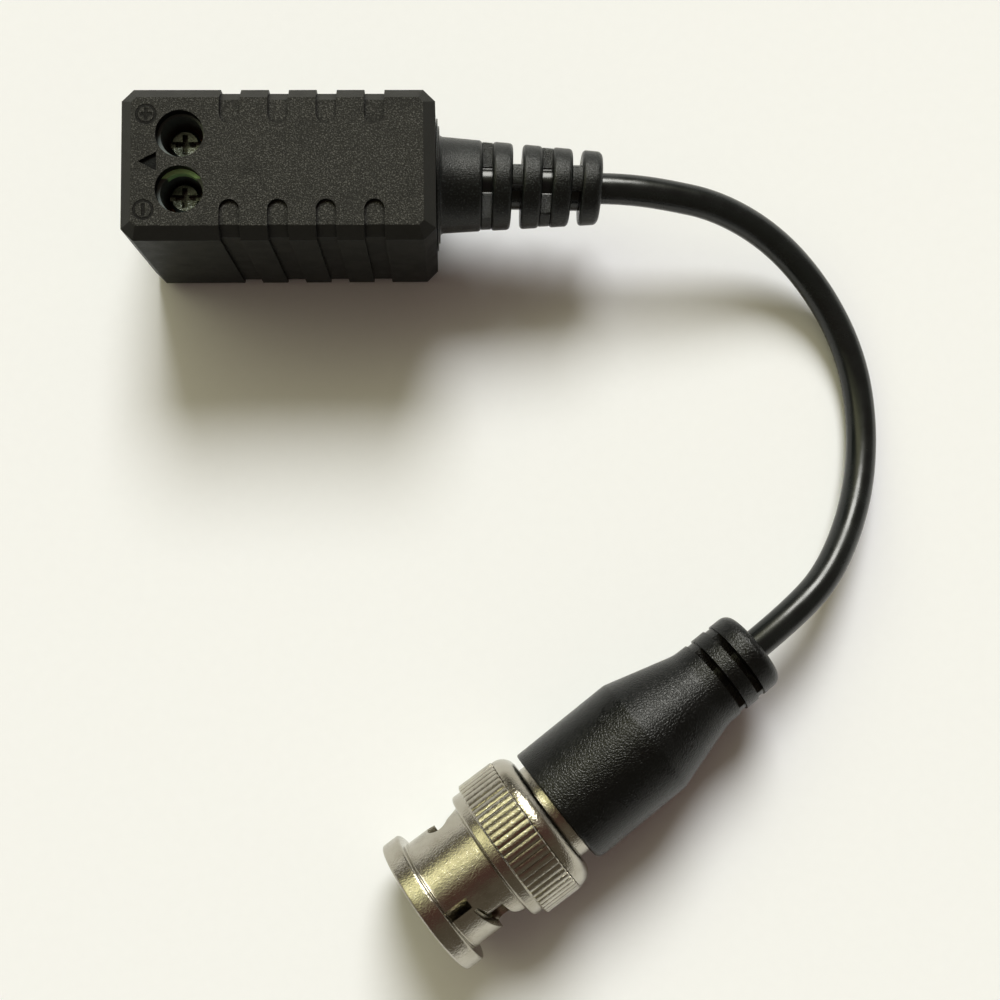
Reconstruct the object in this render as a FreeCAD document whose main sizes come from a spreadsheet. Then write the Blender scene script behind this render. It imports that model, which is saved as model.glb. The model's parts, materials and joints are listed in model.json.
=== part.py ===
import FreeCAD, Part
import math
import os
import re
import Sketcher

# Balun with screw terminals, a slotted strain relief, a coaxial pigtail and a bayonet plug.
# Millimetres. Origin: centre of the housing's underside. +X runs along the housing towards the
# strain relief, +Z is up. The plug lies level beside the housing, its knurl on the same surface.

SIZES = [
    ("housing_length", 28.8, "outside, along X"),
    ("housing_width", 14.2, "outside, along Y"),
    ("housing_height", 18.0, "outside, along Z"),
    ("split_height", 8.5, "parting line above the underside"),
    ("side_wall", 1.2, "side and end walls"),
    ("top_wall", 1.0, "roof of the top shell"),
    ("base_wall", 1.2, "floor of the bottom shell"),
    ("corner_chamfer", 1.1, "every outer edge of the housing"),
    ("inner_chamfer", 0.9, "upright corners of the cavity"),
    ("lip_thickness", 0.55, "tongue of the bottom shell"),
    ("lip_height", 0.8, "tongue above the parting line"),
    ("seam_clearance", 0.05, "between the two shells' lips"),
    ("grip_width", 1.85, "finger-grip recess"),
    ("grip_depth", 0.32, "finger-grip recess"),
    ("grip_reach", 2.45, "recess on the flat face, in from the chamfer"),
    ("grip_pitch", 4.4, "recess to recess"),
    ("grip_first", 10.0, "wire end to the centre of the first recess"),
    ("grip_count", 4, "recesses on each long edge"),
    ("well_diameter", 4.4, "screwdriver well"),
    ("well_offset", 0.06, "each well stands outwards of its screw"),
    ("arrow_tip", 1.75, "wire end to the arrow's point"),
    ("arrow_base", 3.4, "wire end to the arrow's back"),
    ("arrow_half", 0.88, "half of the arrow's width"),
    ("arrow_depth", 0.3, "arrow recess"),
    ("window_width", 3.8, "wire window in the end wall"),
    ("window_height", 3.8, "wire window in the end wall"),
    ("ledge_width", 0.9, "board ledge on each long wall"),
    ("ledge_inset", 1.5, "ledge ends inside the board's ends"),
    ("board_bottom", 5.0, "underside of the board"),
    ("board_thickness", 1.6, "circuit board"),
    ("board_front", 0.3, "board to the wire end's inner face"),
    ("board_back", 3.8, "board to the far end's inner face, room for the cable's anchor"),
    ("board_side", 0.2, "board to each long wall"),
    ("board_chamfer", 0.9, "corners of the board"),
    ("terminal_pitch", 5.08, "screw to screw"),
    ("screw_place", 5.49, "wire end to both screws"),
    ("block_front", 0.2, "block to the wire end's inner face"),
    ("block_length", 8.0, "terminal block along X"),
    ("block_margin", 0.0, "block beyond its two poles, each side"),
    ("block_roof", 0.2, "block to the underside of the roof"),
    ("block_bore", 3.9, "screw bore in the block"),
    ("bore_offset", 0.16, "each bore stands outwards of its screw"),
    ("entry_width", 3.4, "wire entry in the block"),
    ("entry_height", 3.1, "wire entry in the block"),
    ("cage_length", 5.2, "clamp cage along X"),
    ("cage_width", 4.2, "clamp cage along Y"),
    ("cage_wall", 0.6, "sides of the cage"),
    ("cage_floor", 0.5, "floor of the cage"),
    ("cage_opening", 2.7, "wire space, top to bottom"),
    ("cage_head", 1.3, "threaded top of the cage"),
    ("cage_gap", 0.1, "cage above the board and inside its chamber"),
    ("pin_width", 0.9, "solder pin, square"),
    ("pin_drop", 1.2, "solder pin below the board"),
    ("pin_offset", 1.4, "solder pin behind the screw"),
    ("pin_hole", 1.5, "hole in the board"),
    ("plate_thickness", 0.3, "pressure plate"),
    ("plate_length", 4.4, "pressure plate along X"),
    ("plate_gap", 0.1, "plate to each side of the cage"),
    ("rest_gap", 0.02, "faces that rest on each other and part in use"),
    ("screw_shank", 2.6, "shank diameter, thread drawn plain"),
    ("screw_clearance", 0.03, "shank in the cage, on the radius"),
    ("shank_length", 6.15, "tip to head"),
    ("screw_head", 2.9, "head diameter"),
    ("head_height", 1.4, "screw head"),
    ("slot_width", 0.55, "driver slot"),
    ("slot_depth", 0.45, "driver slot"),
    ("cross_width", 0.5, "cross recess arm"),
    ("cross_length", 1.9, "cross recess, tip to tip"),
    ("cross_depth", 0.85, "cross recess"),
    ("part_gap", 0.5, "block, suppressor and transformer apart on the board"),
    ("core_outside", 7.0, "ring core"),
    ("core_inside", 3.6, "ring core"),
    ("core_height", 3.0, "ring core"),
    ("winding_thickness", 0.4, "copper over the core"),
    ("winding_clearance", 0.02, "core to winding"),
    ("winding_arc", 150.0, "each winding covers this angle"),
    ("winding_start", 15.0, "angle from X to the first winding"),
    ("suppressor_length", 4.3, "along Y"),
    ("suppressor_width", 2.6, "along X"),
    ("suppressor_height", 2.2, "above the board"),
    ("chip_place", 1.8, "board's far end to the middle of the chip row"),
    ("chip_length", 1.6, "along Y"),
    ("chip_width", 0.8, "along X"),
    ("chip_height", 0.5, "below the board"),
    ("chip_pitch", 2.4, "chip to chip"),
    ("chip_count", 4, "chips in the row"),
    ("relief_side", 0.38, "Y of the relief where it leaves the wall"),
    ("relief_height", 9.5, "Z of the relief's axis"),
    ("relief_yaw", -1.3, "the relief leans towards the plug's side"),
    ("relief_hole", 8.5, "hole in the end wall"),
    ("anchor_diameter", 9.2, "flange inside the wall"),
    ("anchor_thickness", 1.3, "flange inside the wall"),
    ("neck_gap", 0.15, "relief in its hole, on the radius"),
    ("wall_clearance", 0.03, "flanges to the wall's faces"),
    ("collar_diameter", 12.6, "outer flange, against the wall"),
    ("step_diameter", 11.2, "step of the outer flange"),
    ("flange_step", 0.15, "thickness of each step"),
    ("relief_root", 9.25, "diameter next to the flange"),
    ("relief_tip", 7.0, "diameter at the cable end"),
    ("relief_length", 15.95, "from the wall to the cable end"),
    ("relief_core", 4.4, "smooth core seen in the slots"),
    ("web_thickness", 3.9, "level webs that join the rings"),
    ("web_thin", 2.0, "upright webs that join the rings"),
    ("web_inset", 0.12, "webs below the rings"),
    ("web_root", 0.2, "webs run this far into the rings"),
    ("slot_first", 4.9, "middle of the first relief slot from the wall"),
    ("slot_pitch", 2.87, "relief slot to slot"),
    ("slot_gap", 0.95, "width of a relief slot"),
    ("tip_round", 0.6, "rounded cable end"),
    ("cable_diameter", 3.0, "pigtail"),
    ("plug_x", 21.616, "plug's datum, in front of the knurl's rear"),
    ("plug_y", -62.479, "plug's datum"),
    ("plug_heading", 35.583, "direction from the plug's mouth to its cable"),
    ("ring_front", -11.05, "mouth of the coupling ring from the datum"),
    ("flange_back", -9.15, "rear of the front flange"),
    ("sleeve_back", -3.1, "rear of the slotted sleeve"),
    ("knurl_front", -1.95, "front of the knurl"),
    ("knurl_back", 2.0, "rear of the knurl"),
    ("ring_back", 3.7, "rear of the coupling ring"),
    ("flange_diameter", 13.9, "front flange"),
    ("sleeve_diameter", 11.45, "slotted sleeve"),
    ("shoulder_diameter", 13.4, "plain band ahead of the knurl"),
    ("knurl_diameter", 14.4, "over the knurl"),
    ("knurl_ridges", 60, "ridges round the ring"),
    ("knurl_depth", 0.24, "grooves between ridges"),
    ("knurl_groove", 0.4, "width of a groove at the surface"),
    ("dome_diameter", 14.2, "plain band behind the knurl"),
    ("dome_round", 1.5, "rounded rear of the ring"),
    ("edge_bevel", 0.25, "bevelled edges of the front flange"),
    ("shoulder_bevel", 0.5, "bevelled front edge of the plain band"),
    ("mouth_bore", 9.8, "bore of the coupling ring"),
    ("mouth_chamfer", 0.3, "lead-in at the mouth"),
    ("web_front", 2.3, "front of the ring's inner web"),
    ("waist_diameter", 7.7, "plug body inside the inner web"),
    ("turn_clearance", 0.05, "ring on the plug body, on the radius"),
    ("ring_turn", -9.3, "the ring's turn about its axis as it lies"),
    ("key_width", 2.55, "entry keyway for the mating lug"),
    ("key_side", 0.12, "keyway's near side from the ring's middle plane"),
    ("key_height", 5.5, "keyway's roof above the axis"),
    ("key_back", -6.9, "rear end of the keyway"),
    ("cam_back", -4.35, "rear edge of the cam slot at both ends of its pocket"),
    ("cam_rear", -5.0, "rear edge of the cam slot beside the keyway"),
    ("pocket_back", -3.3, "rear edge of the pocket that the lug passes before its seat"),
    ("cam_nose", -5.98, "rearmost point of the cam's front edge"),
    ("cam_top", 4.2, "cam slot's upper edge above the axis"),
    ("detent_front", -6.65, "seat of the mating lug"),
    ("detent_drop", 1.85, "centre of the seat below the axis"),
    ("tube_front", -10.4, "front of the contact tube"),
    ("tube_outside", 8.1, "contact tube"),
    ("tube_inside", 6.9, "contact tube"),
    ("tube_slot", 0.5, "slits in the contact tube"),
    ("tube_slot_depth", 4.5, "slits in the contact tube"),
    ("base_front", 0.0, "front face of the body's base flange"),
    ("base_back", 1.0, "rear face of the base flange"),
    ("base_gap", 0.1, "base flange, washer and spring in the ring's bore, on the radius"),
    ("waist_back", 5.0, "end of the waist"),
    ("tail_diameter", 6.0, "crimp tail inside the boot"),
    ("tail_back", 9.0, "end of the crimp tail"),
    ("tail_bore", 2.0, "bore for the cable's dielectric"),
    ("insulator_front", -2.6, "front of the plug insulator"),
    ("insulator_back", 0.6, "rear of the plug insulator"),
    ("contact_diameter", 1.35, "centre pin"),
    ("contact_front", -9.7, "tip of the centre pin"),
    ("contact_back", 3.0, "rear of the centre pin"),
    ("contact_point", 0.45, "taper at the pin's tip"),
    ("contact_clearance", 0.02, "pin and insulator in their bores"),
    ("gasket_thickness", 0.9, "seal ahead of the base flange"),
    ("gasket_clearance", 0.05, "seal inside the ring's bore"),
    ("washer_thickness", 0.4, "thrust washer"),
    ("washer_gap", 0.1, "washer and spring round the waist, on the radius"),
    ("spring_thickness", 0.4, "wave spring"),
    ("collar_outside", 9.95, "nickel collar behind the ring"),
    ("collar_gap", 0.05, "ring to collar"),
    ("collar_clearance", 0.01, "collar on the waist, on the radius"),
    ("boot_yaw", 2.2, "the boot leans off the plug's axis"),
    ("boot_pivot", 3.0, "where the boot's axis meets the plug's"),
    ("boot_front", 4.55, "front face of the boot"),
    ("boot_diameter", 12.35, "boot ahead of its cone"),
    ("boot_neck", 8.25, "boot behind its cone"),
    ("cone_front", 15.3, "start of the cone"),
    ("cone_back", 22.3, "end of the cone"),
    ("boot_back", 29.1, "cable end of the boot"),
    ("boot_round", 1.1, "rounded cable end"),
    ("mouth_bevel", 0.25, "bevelled front edge"),
    ("pocket_clearance", 0.25, "boot round the collar and its end"),
    ("tail_clearance", 0.3, "boot round the crimp tail, on the radius"),
    ("groove_first", 24.2, "middle of the first boot groove"),
    ("groove_pitch", 2.1, "boot groove to groove"),
    ("groove_count", 2, "boot grooves"),
    ("groove_width", 0.7, "boot groove"),
    ("groove_depth", 0.55, "boot groove"),
]

# Route of the pigtail: corners of its runs, and its straight lengths next to the relief and the boot.
CABLE_CORNERS = [
    (36.4, -0.42, 9.2),
    (42.4, -1.3, 7.9),
    (48.7, -4.1, 5.0),
    (53.8, -9.2, 2.6),
    (57.0, -15.7, 1.5),
    (57.8, -22.9, 1.5),
    (56.5, -30.3, 3.0),
    (53.0, -37.3, 5.7),
]
STRAIGHT_OUT = 2.2
STRAIGHT_IN = 5.4
ARC_SHARE = 0.45
TUBE_SIDES = 16
# Stripped wires inside the housing, from the relief's anchor to the board.
WIRE_DIAMETER = 0.6
BRAID_DIAMETER = 0.9
DIELECTRIC_DIAMETER = 1.7
DIELECTRIC_LENGTH = 1.6
WIRE_LANDING = 0.8
WIRE_SIDE = 4.2

ALIASES = {name for name, value, note in SIZES}

doc = FreeCAD.newDocument("balun")
sheet = doc.addObject("Spreadsheet::Sheet", "sizes")
for row, (name, value, note) in enumerate(SIZES, start=1):
    sheet.set(f"A{row}", name)
    sheet.set(f"B{row}", str(value))
    sheet.setAlias(f"B{row}", name)
    sheet.set(f"C{row}", note)
doc.recompute()


def size(name):
    """One driving size, as a number."""
    return float(sheet.get(name))


def tied(expression):
    """The same expression, with each size read from the sheet."""
    def named(word):
        return f"sizes.{word[0]}" if word[0] in ALIASES else word[0]

    return re.sub(r"[a-z_]+", named, expression)


def worked_out(expression):
    """The value of an expression in sizes."""
    return float(sheet.evalExpression(tied(expression)))


def new_body(name):
    """An empty body that carries the sub-part's name."""
    body = doc.addObject("PartDesign::Body", name)
    body.Label = name
    return body


def origin(body, role):
    """A body's own origin plane or axis."""
    return next(item for item in body.Origin.OriginFeatures if item.Role == role)


def new_sketch(body, name, role, offset="0"):
    """A sketch on one of the body's own origin planes, lifted by an expression."""
    drawing = body.newObject("Sketcher::SketchObject", name)
    drawing.AttachmentSupport = [(origin(body, role), "")]
    drawing.MapMode = "FlatFace"
    drawing.setExpression(".AttachmentOffset.Base.z", tied(offset))
    return drawing


def tie(drawing, kind, axis, line, expression):
    """Holds a line's first end at a distance from the sketch's origin."""
    if expression == "0":
        drawing.addConstraint(Sketcher.Constraint("PointOnObject", line, 1, axis))
        return
    held = Sketcher.Constraint(kind, -1, 1, line, 1, worked_out(expression))
    index = drawing.addConstraint(held)
    drawing.setExpression(f"Constraints[{index}]", tied(expression))


def outline(drawing, points):
    """A closed outline with straight sides. Each point is a pair of expressions."""
    first = drawing.GeometryCount
    places = [FreeCAD.Vector(worked_out(across), worked_out(up), 0) for across, up in points]
    for place, following in zip(places, places[1:] + places[:1]):
        drawing.addGeometry(Part.LineSegment(place, following))
    for step in range(len(points)):
        following = first + (step + 1) % len(points)
        drawing.addConstraint(Sketcher.Constraint("Coincident", first + step, 2, following, 1))
    for step, (across, up) in enumerate(points):
        tie(drawing, "DistanceX", -2, first + step, across)
        tie(drawing, "DistanceY", -1, first + step, up)


def circle(drawing, across, up, diameter):
    """A circle whose centre and diameter are expressions."""
    centre = FreeCAD.Vector(worked_out(across), worked_out(up), 0)
    shape = Part.Circle(centre, FreeCAD.Vector(0, 0, 1), worked_out(diameter) / 2)
    index = drawing.addGeometry(shape)
    for kind, axis, expression in (("DistanceX", -2, across), ("DistanceY", -1, up)):
        if expression == "0":
            drawing.addConstraint(Sketcher.Constraint("PointOnObject", index, 3, axis))
        else:
            held = Sketcher.Constraint(kind, -1, 1, index, 3, worked_out(expression))
            place = drawing.addConstraint(held)
            drawing.setExpression(f"Constraints[{place}]", tied(expression))
    held = drawing.addConstraint(Sketcher.Constraint("Diameter", index, worked_out(diameter)))
    drawing.setExpression(f"Constraints[{held}]", tied(diameter))


def rectangle(drawing, left, right, low, high):
    """An upright rectangle between four expressions."""
    outline(drawing, [(left, low), (right, low), (right, high), (left, high)])


def cut_corners(drawing, half_length, half_width, chamfer):
    """A rectangle about the origin with its four corners cut off."""
    inner_x = f"({half_length} - {chamfer})"
    inner_y = f"({half_width} - {chamfer})"
    outline(drawing, [
        (f"-{inner_x}", f"-{half_width}"), (inner_x, f"-{half_width}"),
        (half_length, f"-{inner_y}"), (half_length, inner_y),
        (inner_x, half_width), (f"-{inner_x}", half_width),
        (f"-{half_length}", inner_y), (f"-{half_length}", f"-{inner_y}"),
    ])


def extrude(kind, body, drawing, name, length, both_ways=False, backwards=False):
    """A pad or pocket of one length, from the sketch or about it."""
    feature = body.newObject(f"PartDesign::{kind}", name)
    feature.Profile = drawing
    feature.setExpression("Length", tied(length))
    feature.SideType = "Symmetric" if both_ways else "One side"
    feature.Reversed = backwards
    drawing.Visibility = False
    body.Tip = feature
    return feature


def spin(body, drawing, name, axis, angle="360"):
    """A solid turned about one of the sketch's axes."""
    feature = body.newObject("PartDesign::Revolution", name)
    feature.Profile = drawing
    feature.ReferenceAxis = (drawing, [axis])
    feature.setExpression("Angle", tied(angle))
    body.Tip = feature
    return feature


def row_of(body, features, name, role, pitch, count):
    """Copies of features in a row along one of the body's axes."""
    pattern = body.newObject("PartDesign::LinearPattern", name)
    pattern.Originals = features
    pattern.Direction = (origin(body, role), [""])
    pattern.setExpression("Length", tied(f"{pitch} * ({count} - 1)"))
    pattern.setExpression("Occurrences", tied(count))
    body.Tip = pattern
    return pattern


def round_of(body, features, name, role, count):
    """Copies of features all round one of the body's axes."""
    pattern = body.newObject("PartDesign::PolarPattern", name)
    pattern.Originals = features
    pattern.Axis = (origin(body, role), [""])
    pattern.Angle = 360
    pattern.setExpression("Occurrences", tied(count))
    body.Tip = pattern
    return pattern


def dress(kind, body, base, name, amount, chosen):
    """A fillet or chamfer on the edges of base that a test chooses."""
    doc.recompute()
    feature = body.newObject(f"PartDesign::{kind}", name)
    names = [f"Edge{place}" for place, edge in enumerate(base.Shape.Edges, start=1) if chosen(edge)]
    feature.Base = (base, names)
    feature.setExpression("Radius" if kind == "Fillet" else "Size", tied(amount))
    body.Tip = feature
    return feature


def near(value, target):
    """Whether two lengths are the same to within a micrometre."""
    return abs(value - target) < 1e-3


def level(edge, height):
    """Whether an edge lies wholly at one height."""
    box = edge.BoundBox
    return near(box.ZMin, height) and near(box.ZMax, height)


def ring_edge(edge, diameter, place, axis):
    """Whether an edge is a whole circle of a diameter at a place along an axis."""
    curve = edge.Curve
    if not hasattr(curve, "Radius") or len(edge.Vertexes) > 1:
        return False
    return near(curve.Radius, diameter / 2) and near(curve.Center.dot(axis), place)


# Housing

HALF_LENGTH = "housing_length / 2"
HALF_WIDTH = "housing_width / 2"
CAVITY_LENGTH = "(housing_length / 2 - side_wall)"
CAVITY_WIDTH = "(housing_width / 2 - side_wall)"
SCREW_X = f"(screw_place - {HALF_LENGTH})"
GRIP_X = f"(grip_first - {HALF_LENGTH})"
BOARD_FRONT = f"(board_front - {CAVITY_LENGTH})"
BOARD_BACK = f"({CAVITY_LENGTH} - board_back)"
BLOCK_FRONT = f"(block_front - {CAVITY_LENGTH})"
SUPPRESSOR_X = f"({BLOCK_FRONT} + block_length + part_gap + suppressor_width / 2)"
CORE_FRONT = f"({SUPPRESSOR_X} + suppressor_width / 2 + part_gap)"
CORE_X = f"({CORE_FRONT} + winding_thickness + winding_clearance + core_outside / 2)"
BOARD_TOP = "(board_bottom + board_thickness)"
CAGE_BOTTOM = f"({BOARD_TOP} + cage_gap)"
WIRE_SPACE = f"({CAGE_BOTTOM} + cage_floor)"
WIRE_LEVEL = f"({WIRE_SPACE} + cage_opening / 2)"


def grip_recesses(body, shell, face, inwards, start, end):
    """Finger-grip recesses on both long edges of a shell.

    face is the shell's flat face, inwards is the sign that leads into the wall from it, and
    start and end are the heights between which the recess runs down the side.
    """
    step_in = f"{face} {inwards} grip_depth"
    slope = f"{face} {inwards} (corner_chamfer + 0.4142 * grip_depth)"
    reach = f"({HALF_WIDTH} - corner_chamfer - grip_reach + grip_width / 2)"
    bend = f"({HALF_WIDTH} - corner_chamfer - 0.4142 * grip_depth)"
    floor = f"({HALF_WIDTH} - grip_depth)"
    outside = f"({HALF_WIDTH} + side_wall)"
    beyond = f"{face} {'-' if inwards == '+' else '+'} side_wall"
    drawing = new_sketch(body, f"{shell}_grip_section", "YZ_Plane", GRIP_X)
    for sign in ("", "-"):
        outline(drawing, [
            (f"{sign}{reach}", step_in), (f"{sign}{bend}", step_in), (f"{sign}{floor}", slope),
            (f"{sign}{floor}", end), (f"{sign}{outside}", end), (f"{sign}{outside}", beyond),
            (f"{sign}{reach}", beyond),
        ])
    groove = extrude("Pocket", body, drawing, f"{shell}_grip", "grip_width", both_ways=True)
    rounds = new_sketch(body, f"{shell}_grip_round", "XY_Plane", face)
    for sign in ("", "-"):
        circle(rounds, GRIP_X, f"{sign}{reach}", "grip_width")
    heads = extrude("Pocket", body, rounds, f"{shell}_grip_head", "grip_depth", backwards=inwards == "+")
    return row_of(body, [groove, heads], f"{shell}_grips", "X_Axis", "grip_pitch", "grip_count")


def end_openings(body, shell):
    """Wire windows in the terminal end and the relief's hole in the other."""
    windows = new_sketch(body, f"{shell}_window_shape", "YZ_Plane", f"-({HALF_LENGTH} + side_wall)")
    for sign in ("", "-"):
        middle = f"{sign}(terminal_pitch / 2)"
        rectangle(windows, f"{middle} - window_width / 2", f"{middle} + window_width / 2",
                  f"{WIRE_LEVEL} - window_height / 2", f"{WIRE_LEVEL} + window_height / 2")
    extrude("Pocket", body, windows, f"{shell}_windows", "3 * side_wall", backwards=True)
    hole = new_sketch(body, f"{shell}_relief_shape", "YZ_Plane", f"{HALF_LENGTH} + side_wall")
    circle(hole, "relief_side", "relief_height", "relief_hole")
    return extrude("Pocket", body, hole, f"{shell}_relief_hole", "3 * side_wall")


def top_shell():
    """Upper shell: roof with two screw wells, an arrow and the grips."""
    body = new_body("top_shell")
    block = new_sketch(body, "top_block_shape", "XY_Plane", "split_height")
    cut_corners(block, HALF_LENGTH, HALF_WIDTH, "corner_chamfer")
    solid = extrude("Pad", body, block, "top_block", "housing_height - split_height")
    top = size("housing_height")
    solid = dress("Chamfer", body, solid, "top_chamfer", "corner_chamfer", lambda edge: level(edge, top))
    cavity = new_sketch(body, "top_cavity_shape", "XY_Plane", "split_height")
    cut_corners(cavity, CAVITY_LENGTH, CAVITY_WIDTH, "inner_chamfer")
    inner_height = "housing_height - top_wall - split_height"
    extrude("Pocket", body, cavity, "top_cavity", inner_height, backwards=True)
    rabbet = new_sketch(body, "top_rabbet_shape", "XY_Plane", "split_height")
    grown = "(lip_thickness + seam_clearance)"
    cut_corners(rabbet, f"({CAVITY_LENGTH} + {grown})", f"({CAVITY_WIDTH} + {grown})", "inner_chamfer")
    extrude("Pocket", body, rabbet, "top_rabbet", "lip_height + seam_clearance", backwards=True)
    wells = new_sketch(body, "well_shape", "XY_Plane", "housing_height")
    circle(wells, SCREW_X, "terminal_pitch / 2 + well_offset", "well_diameter")
    circle(wells, SCREW_X, "-(terminal_pitch / 2 + well_offset)", "well_diameter")
    extrude("Pocket", body, wells, "wells", "2 * top_wall")
    arrow = new_sketch(body, "arrow_shape", "XY_Plane", "housing_height")
    arrow_back = f"arrow_base - {HALF_LENGTH}"
    outline(arrow, [
        (f"arrow_tip - {HALF_LENGTH}", "0"), (arrow_back, "-arrow_half"), (arrow_back, "arrow_half"),
    ])
    extrude("Pocket", body, arrow, "arrow", "arrow_depth")
    end_openings(body, "top")
    grip_recesses(body, "top", "housing_height", "-", "split_height", "split_height - 1")
    return body


def bottom_shell():
    """Lower shell: floor, board ledges and the tongue that locates the upper shell."""
    body = new_body("bottom_shell")
    block = new_sketch(body, "bottom_block_shape", "XY_Plane")
    cut_corners(block, HALF_LENGTH, HALF_WIDTH, "corner_chamfer")
    solid = extrude("Pad", body, block, "bottom_block", "split_height")
    solid = dress("Chamfer", body, solid, "bottom_chamfer", "corner_chamfer", lambda edge: level(edge, 0))
    lip = new_sketch(body, "lip_shape", "XY_Plane", "split_height")
    lip_length, lip_width = f"({CAVITY_LENGTH} + lip_thickness)", f"({CAVITY_WIDTH} + lip_thickness)"
    cut_corners(lip, lip_length, lip_width, "inner_chamfer")
    extrude("Pad", body, lip, "lip", "lip_height")
    cavity = new_sketch(body, "bottom_cavity_shape", "XY_Plane", "base_wall")
    cut_corners(cavity, CAVITY_LENGTH, CAVITY_WIDTH, "inner_chamfer")
    extrude("Pocket", body, cavity, "bottom_cavity", "split_height + lip_height", backwards=True)
    ledges = new_sketch(body, "ledge_shape", "XY_Plane", "base_wall")
    for sign in ("", "-"):
        rectangle(ledges, f"{BOARD_FRONT} + ledge_inset", f"{BOARD_BACK} - ledge_inset",
                  f"{sign}({CAVITY_WIDTH} - ledge_width)", f"{sign}({CAVITY_WIDTH} + side_wall / 4)")
    extrude("Pad", body, ledges, "ledges", "board_bottom - base_wall")
    end_openings(body, "bottom")
    grip_recesses(body, "bottom", "0", "+", "split_height", "split_height")
    return body


# Terminals

def terminal_block():
    """Two-pole block that stands on the board under the roof."""
    body = new_body("terminal_block")
    plan = new_sketch(body, "block_plan", "XY_Plane", BOARD_TOP)
    half_width = "(terminal_pitch + block_margin)"
    height = f"(housing_height - top_wall - block_roof - {BOARD_TOP})"
    rectangle(plan, BLOCK_FRONT, f"{BLOCK_FRONT} + block_length", f"-{half_width}", half_width)
    extrude("Pad", body, plan, "block_solid", height)
    chambers = new_sketch(body, "chamber_plan", "XY_Plane", BOARD_TOP)
    entries = new_sketch(body, "entry_shape", "YZ_Plane", BLOCK_FRONT)
    bores = new_sketch(body, "bore_plan", "XY_Plane", f"{BOARD_TOP} + {height}")
    half_cage = "(cage_length / 2 + cage_gap)"
    for sign in ("", "-"):
        middle = f"{sign}(terminal_pitch / 2)"
        rectangle(chambers, f"{SCREW_X} - {half_cage}", f"{SCREW_X} + {half_cage}",
                  f"{middle} - cage_width / 2 - cage_gap / 2", f"{middle} + cage_width / 2 + cage_gap / 2")
        rectangle(entries, f"{middle} - entry_width / 2", f"{middle} + entry_width / 2",
                  f"{WIRE_LEVEL} - entry_height / 2", f"{WIRE_LEVEL} + entry_height / 2")
        circle(bores, SCREW_X, f"{sign}(terminal_pitch / 2 + bore_offset)", "block_bore")
    chamber_height = "(2 * cage_gap + cage_floor + cage_opening + cage_head)"
    extrude("Pocket", body, chambers, "chambers", chamber_height, backwards=True)
    to_chamber = f"{SCREW_X} - {half_cage} - {BLOCK_FRONT} + cage_gap"
    extrude("Pocket", body, entries, "entries", to_chamber, backwards=True)
    extrude("Pocket", body, bores, "bores", f"{height} - {chamber_height} + cage_gap")
    return body


def clamp_cage(pole, side):
    """Brass cage with its threaded head and its solder pin."""
    body = new_body(f"clamp_cage_{pole}")
    middle = f"{side}(terminal_pitch / 2)"
    frame = new_sketch(body, f"cage_frame_{pole}", "YZ_Plane", SCREW_X)
    cage_top = f"({WIRE_SPACE} + cage_opening + cage_head)"
    rectangle(frame, f"{middle} - cage_width / 2", f"{middle} + cage_width / 2", CAGE_BOTTOM, cage_top)
    rectangle(frame, f"{middle} - cage_width / 2 + cage_wall", f"{middle} + cage_width / 2 - cage_wall",
              WIRE_SPACE, f"{WIRE_SPACE} + cage_opening")
    extrude("Pad", body, frame, f"cage_wall_{pole}", "cage_length", both_ways=True)
    bore = new_sketch(body, f"cage_bore_shape_{pole}", "XY_Plane", cage_top)
    circle(bore, SCREW_X, middle, "screw_shank + 2 * screw_clearance")
    extrude("Pocket", body, bore, f"cage_bore_{pole}", "cage_head + cage_gap")
    pin = new_sketch(body, f"cage_pin_shape_{pole}", "XY_Plane", f"{CAGE_BOTTOM} + cage_floor / 2")
    pin_place = f"({SCREW_X} + pin_offset)"
    rectangle(pin, f"{pin_place} - pin_width / 2", f"{pin_place} + pin_width / 2",
              f"{middle} - pin_width / 2", f"{middle} + pin_width / 2")
    extrude("Pad", body, pin, f"cage_pin_{pole}",
            "pin_drop + board_thickness + cage_gap + cage_floor / 2", backwards=True)
    return body


def pressure_plate(pole, side):
    """Plate under the screw's tip that bears on the wire."""
    body = new_body(f"pressure_plate_{pole}")
    middle = f"{side}(terminal_pitch / 2)"
    half_width = "(cage_width / 2 - cage_wall - plate_gap)"
    plan = new_sketch(body, f"plate_plan_{pole}", "XY_Plane", f"{WIRE_SPACE} + rest_gap")
    rectangle(plan, f"{SCREW_X} - plate_length / 2", f"{SCREW_X} + plate_length / 2",
              f"{middle} - {half_width}", f"{middle} + {half_width}")
    extrude("Pad", body, plan, f"plate_{pole}", "plate_thickness")
    return body


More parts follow.
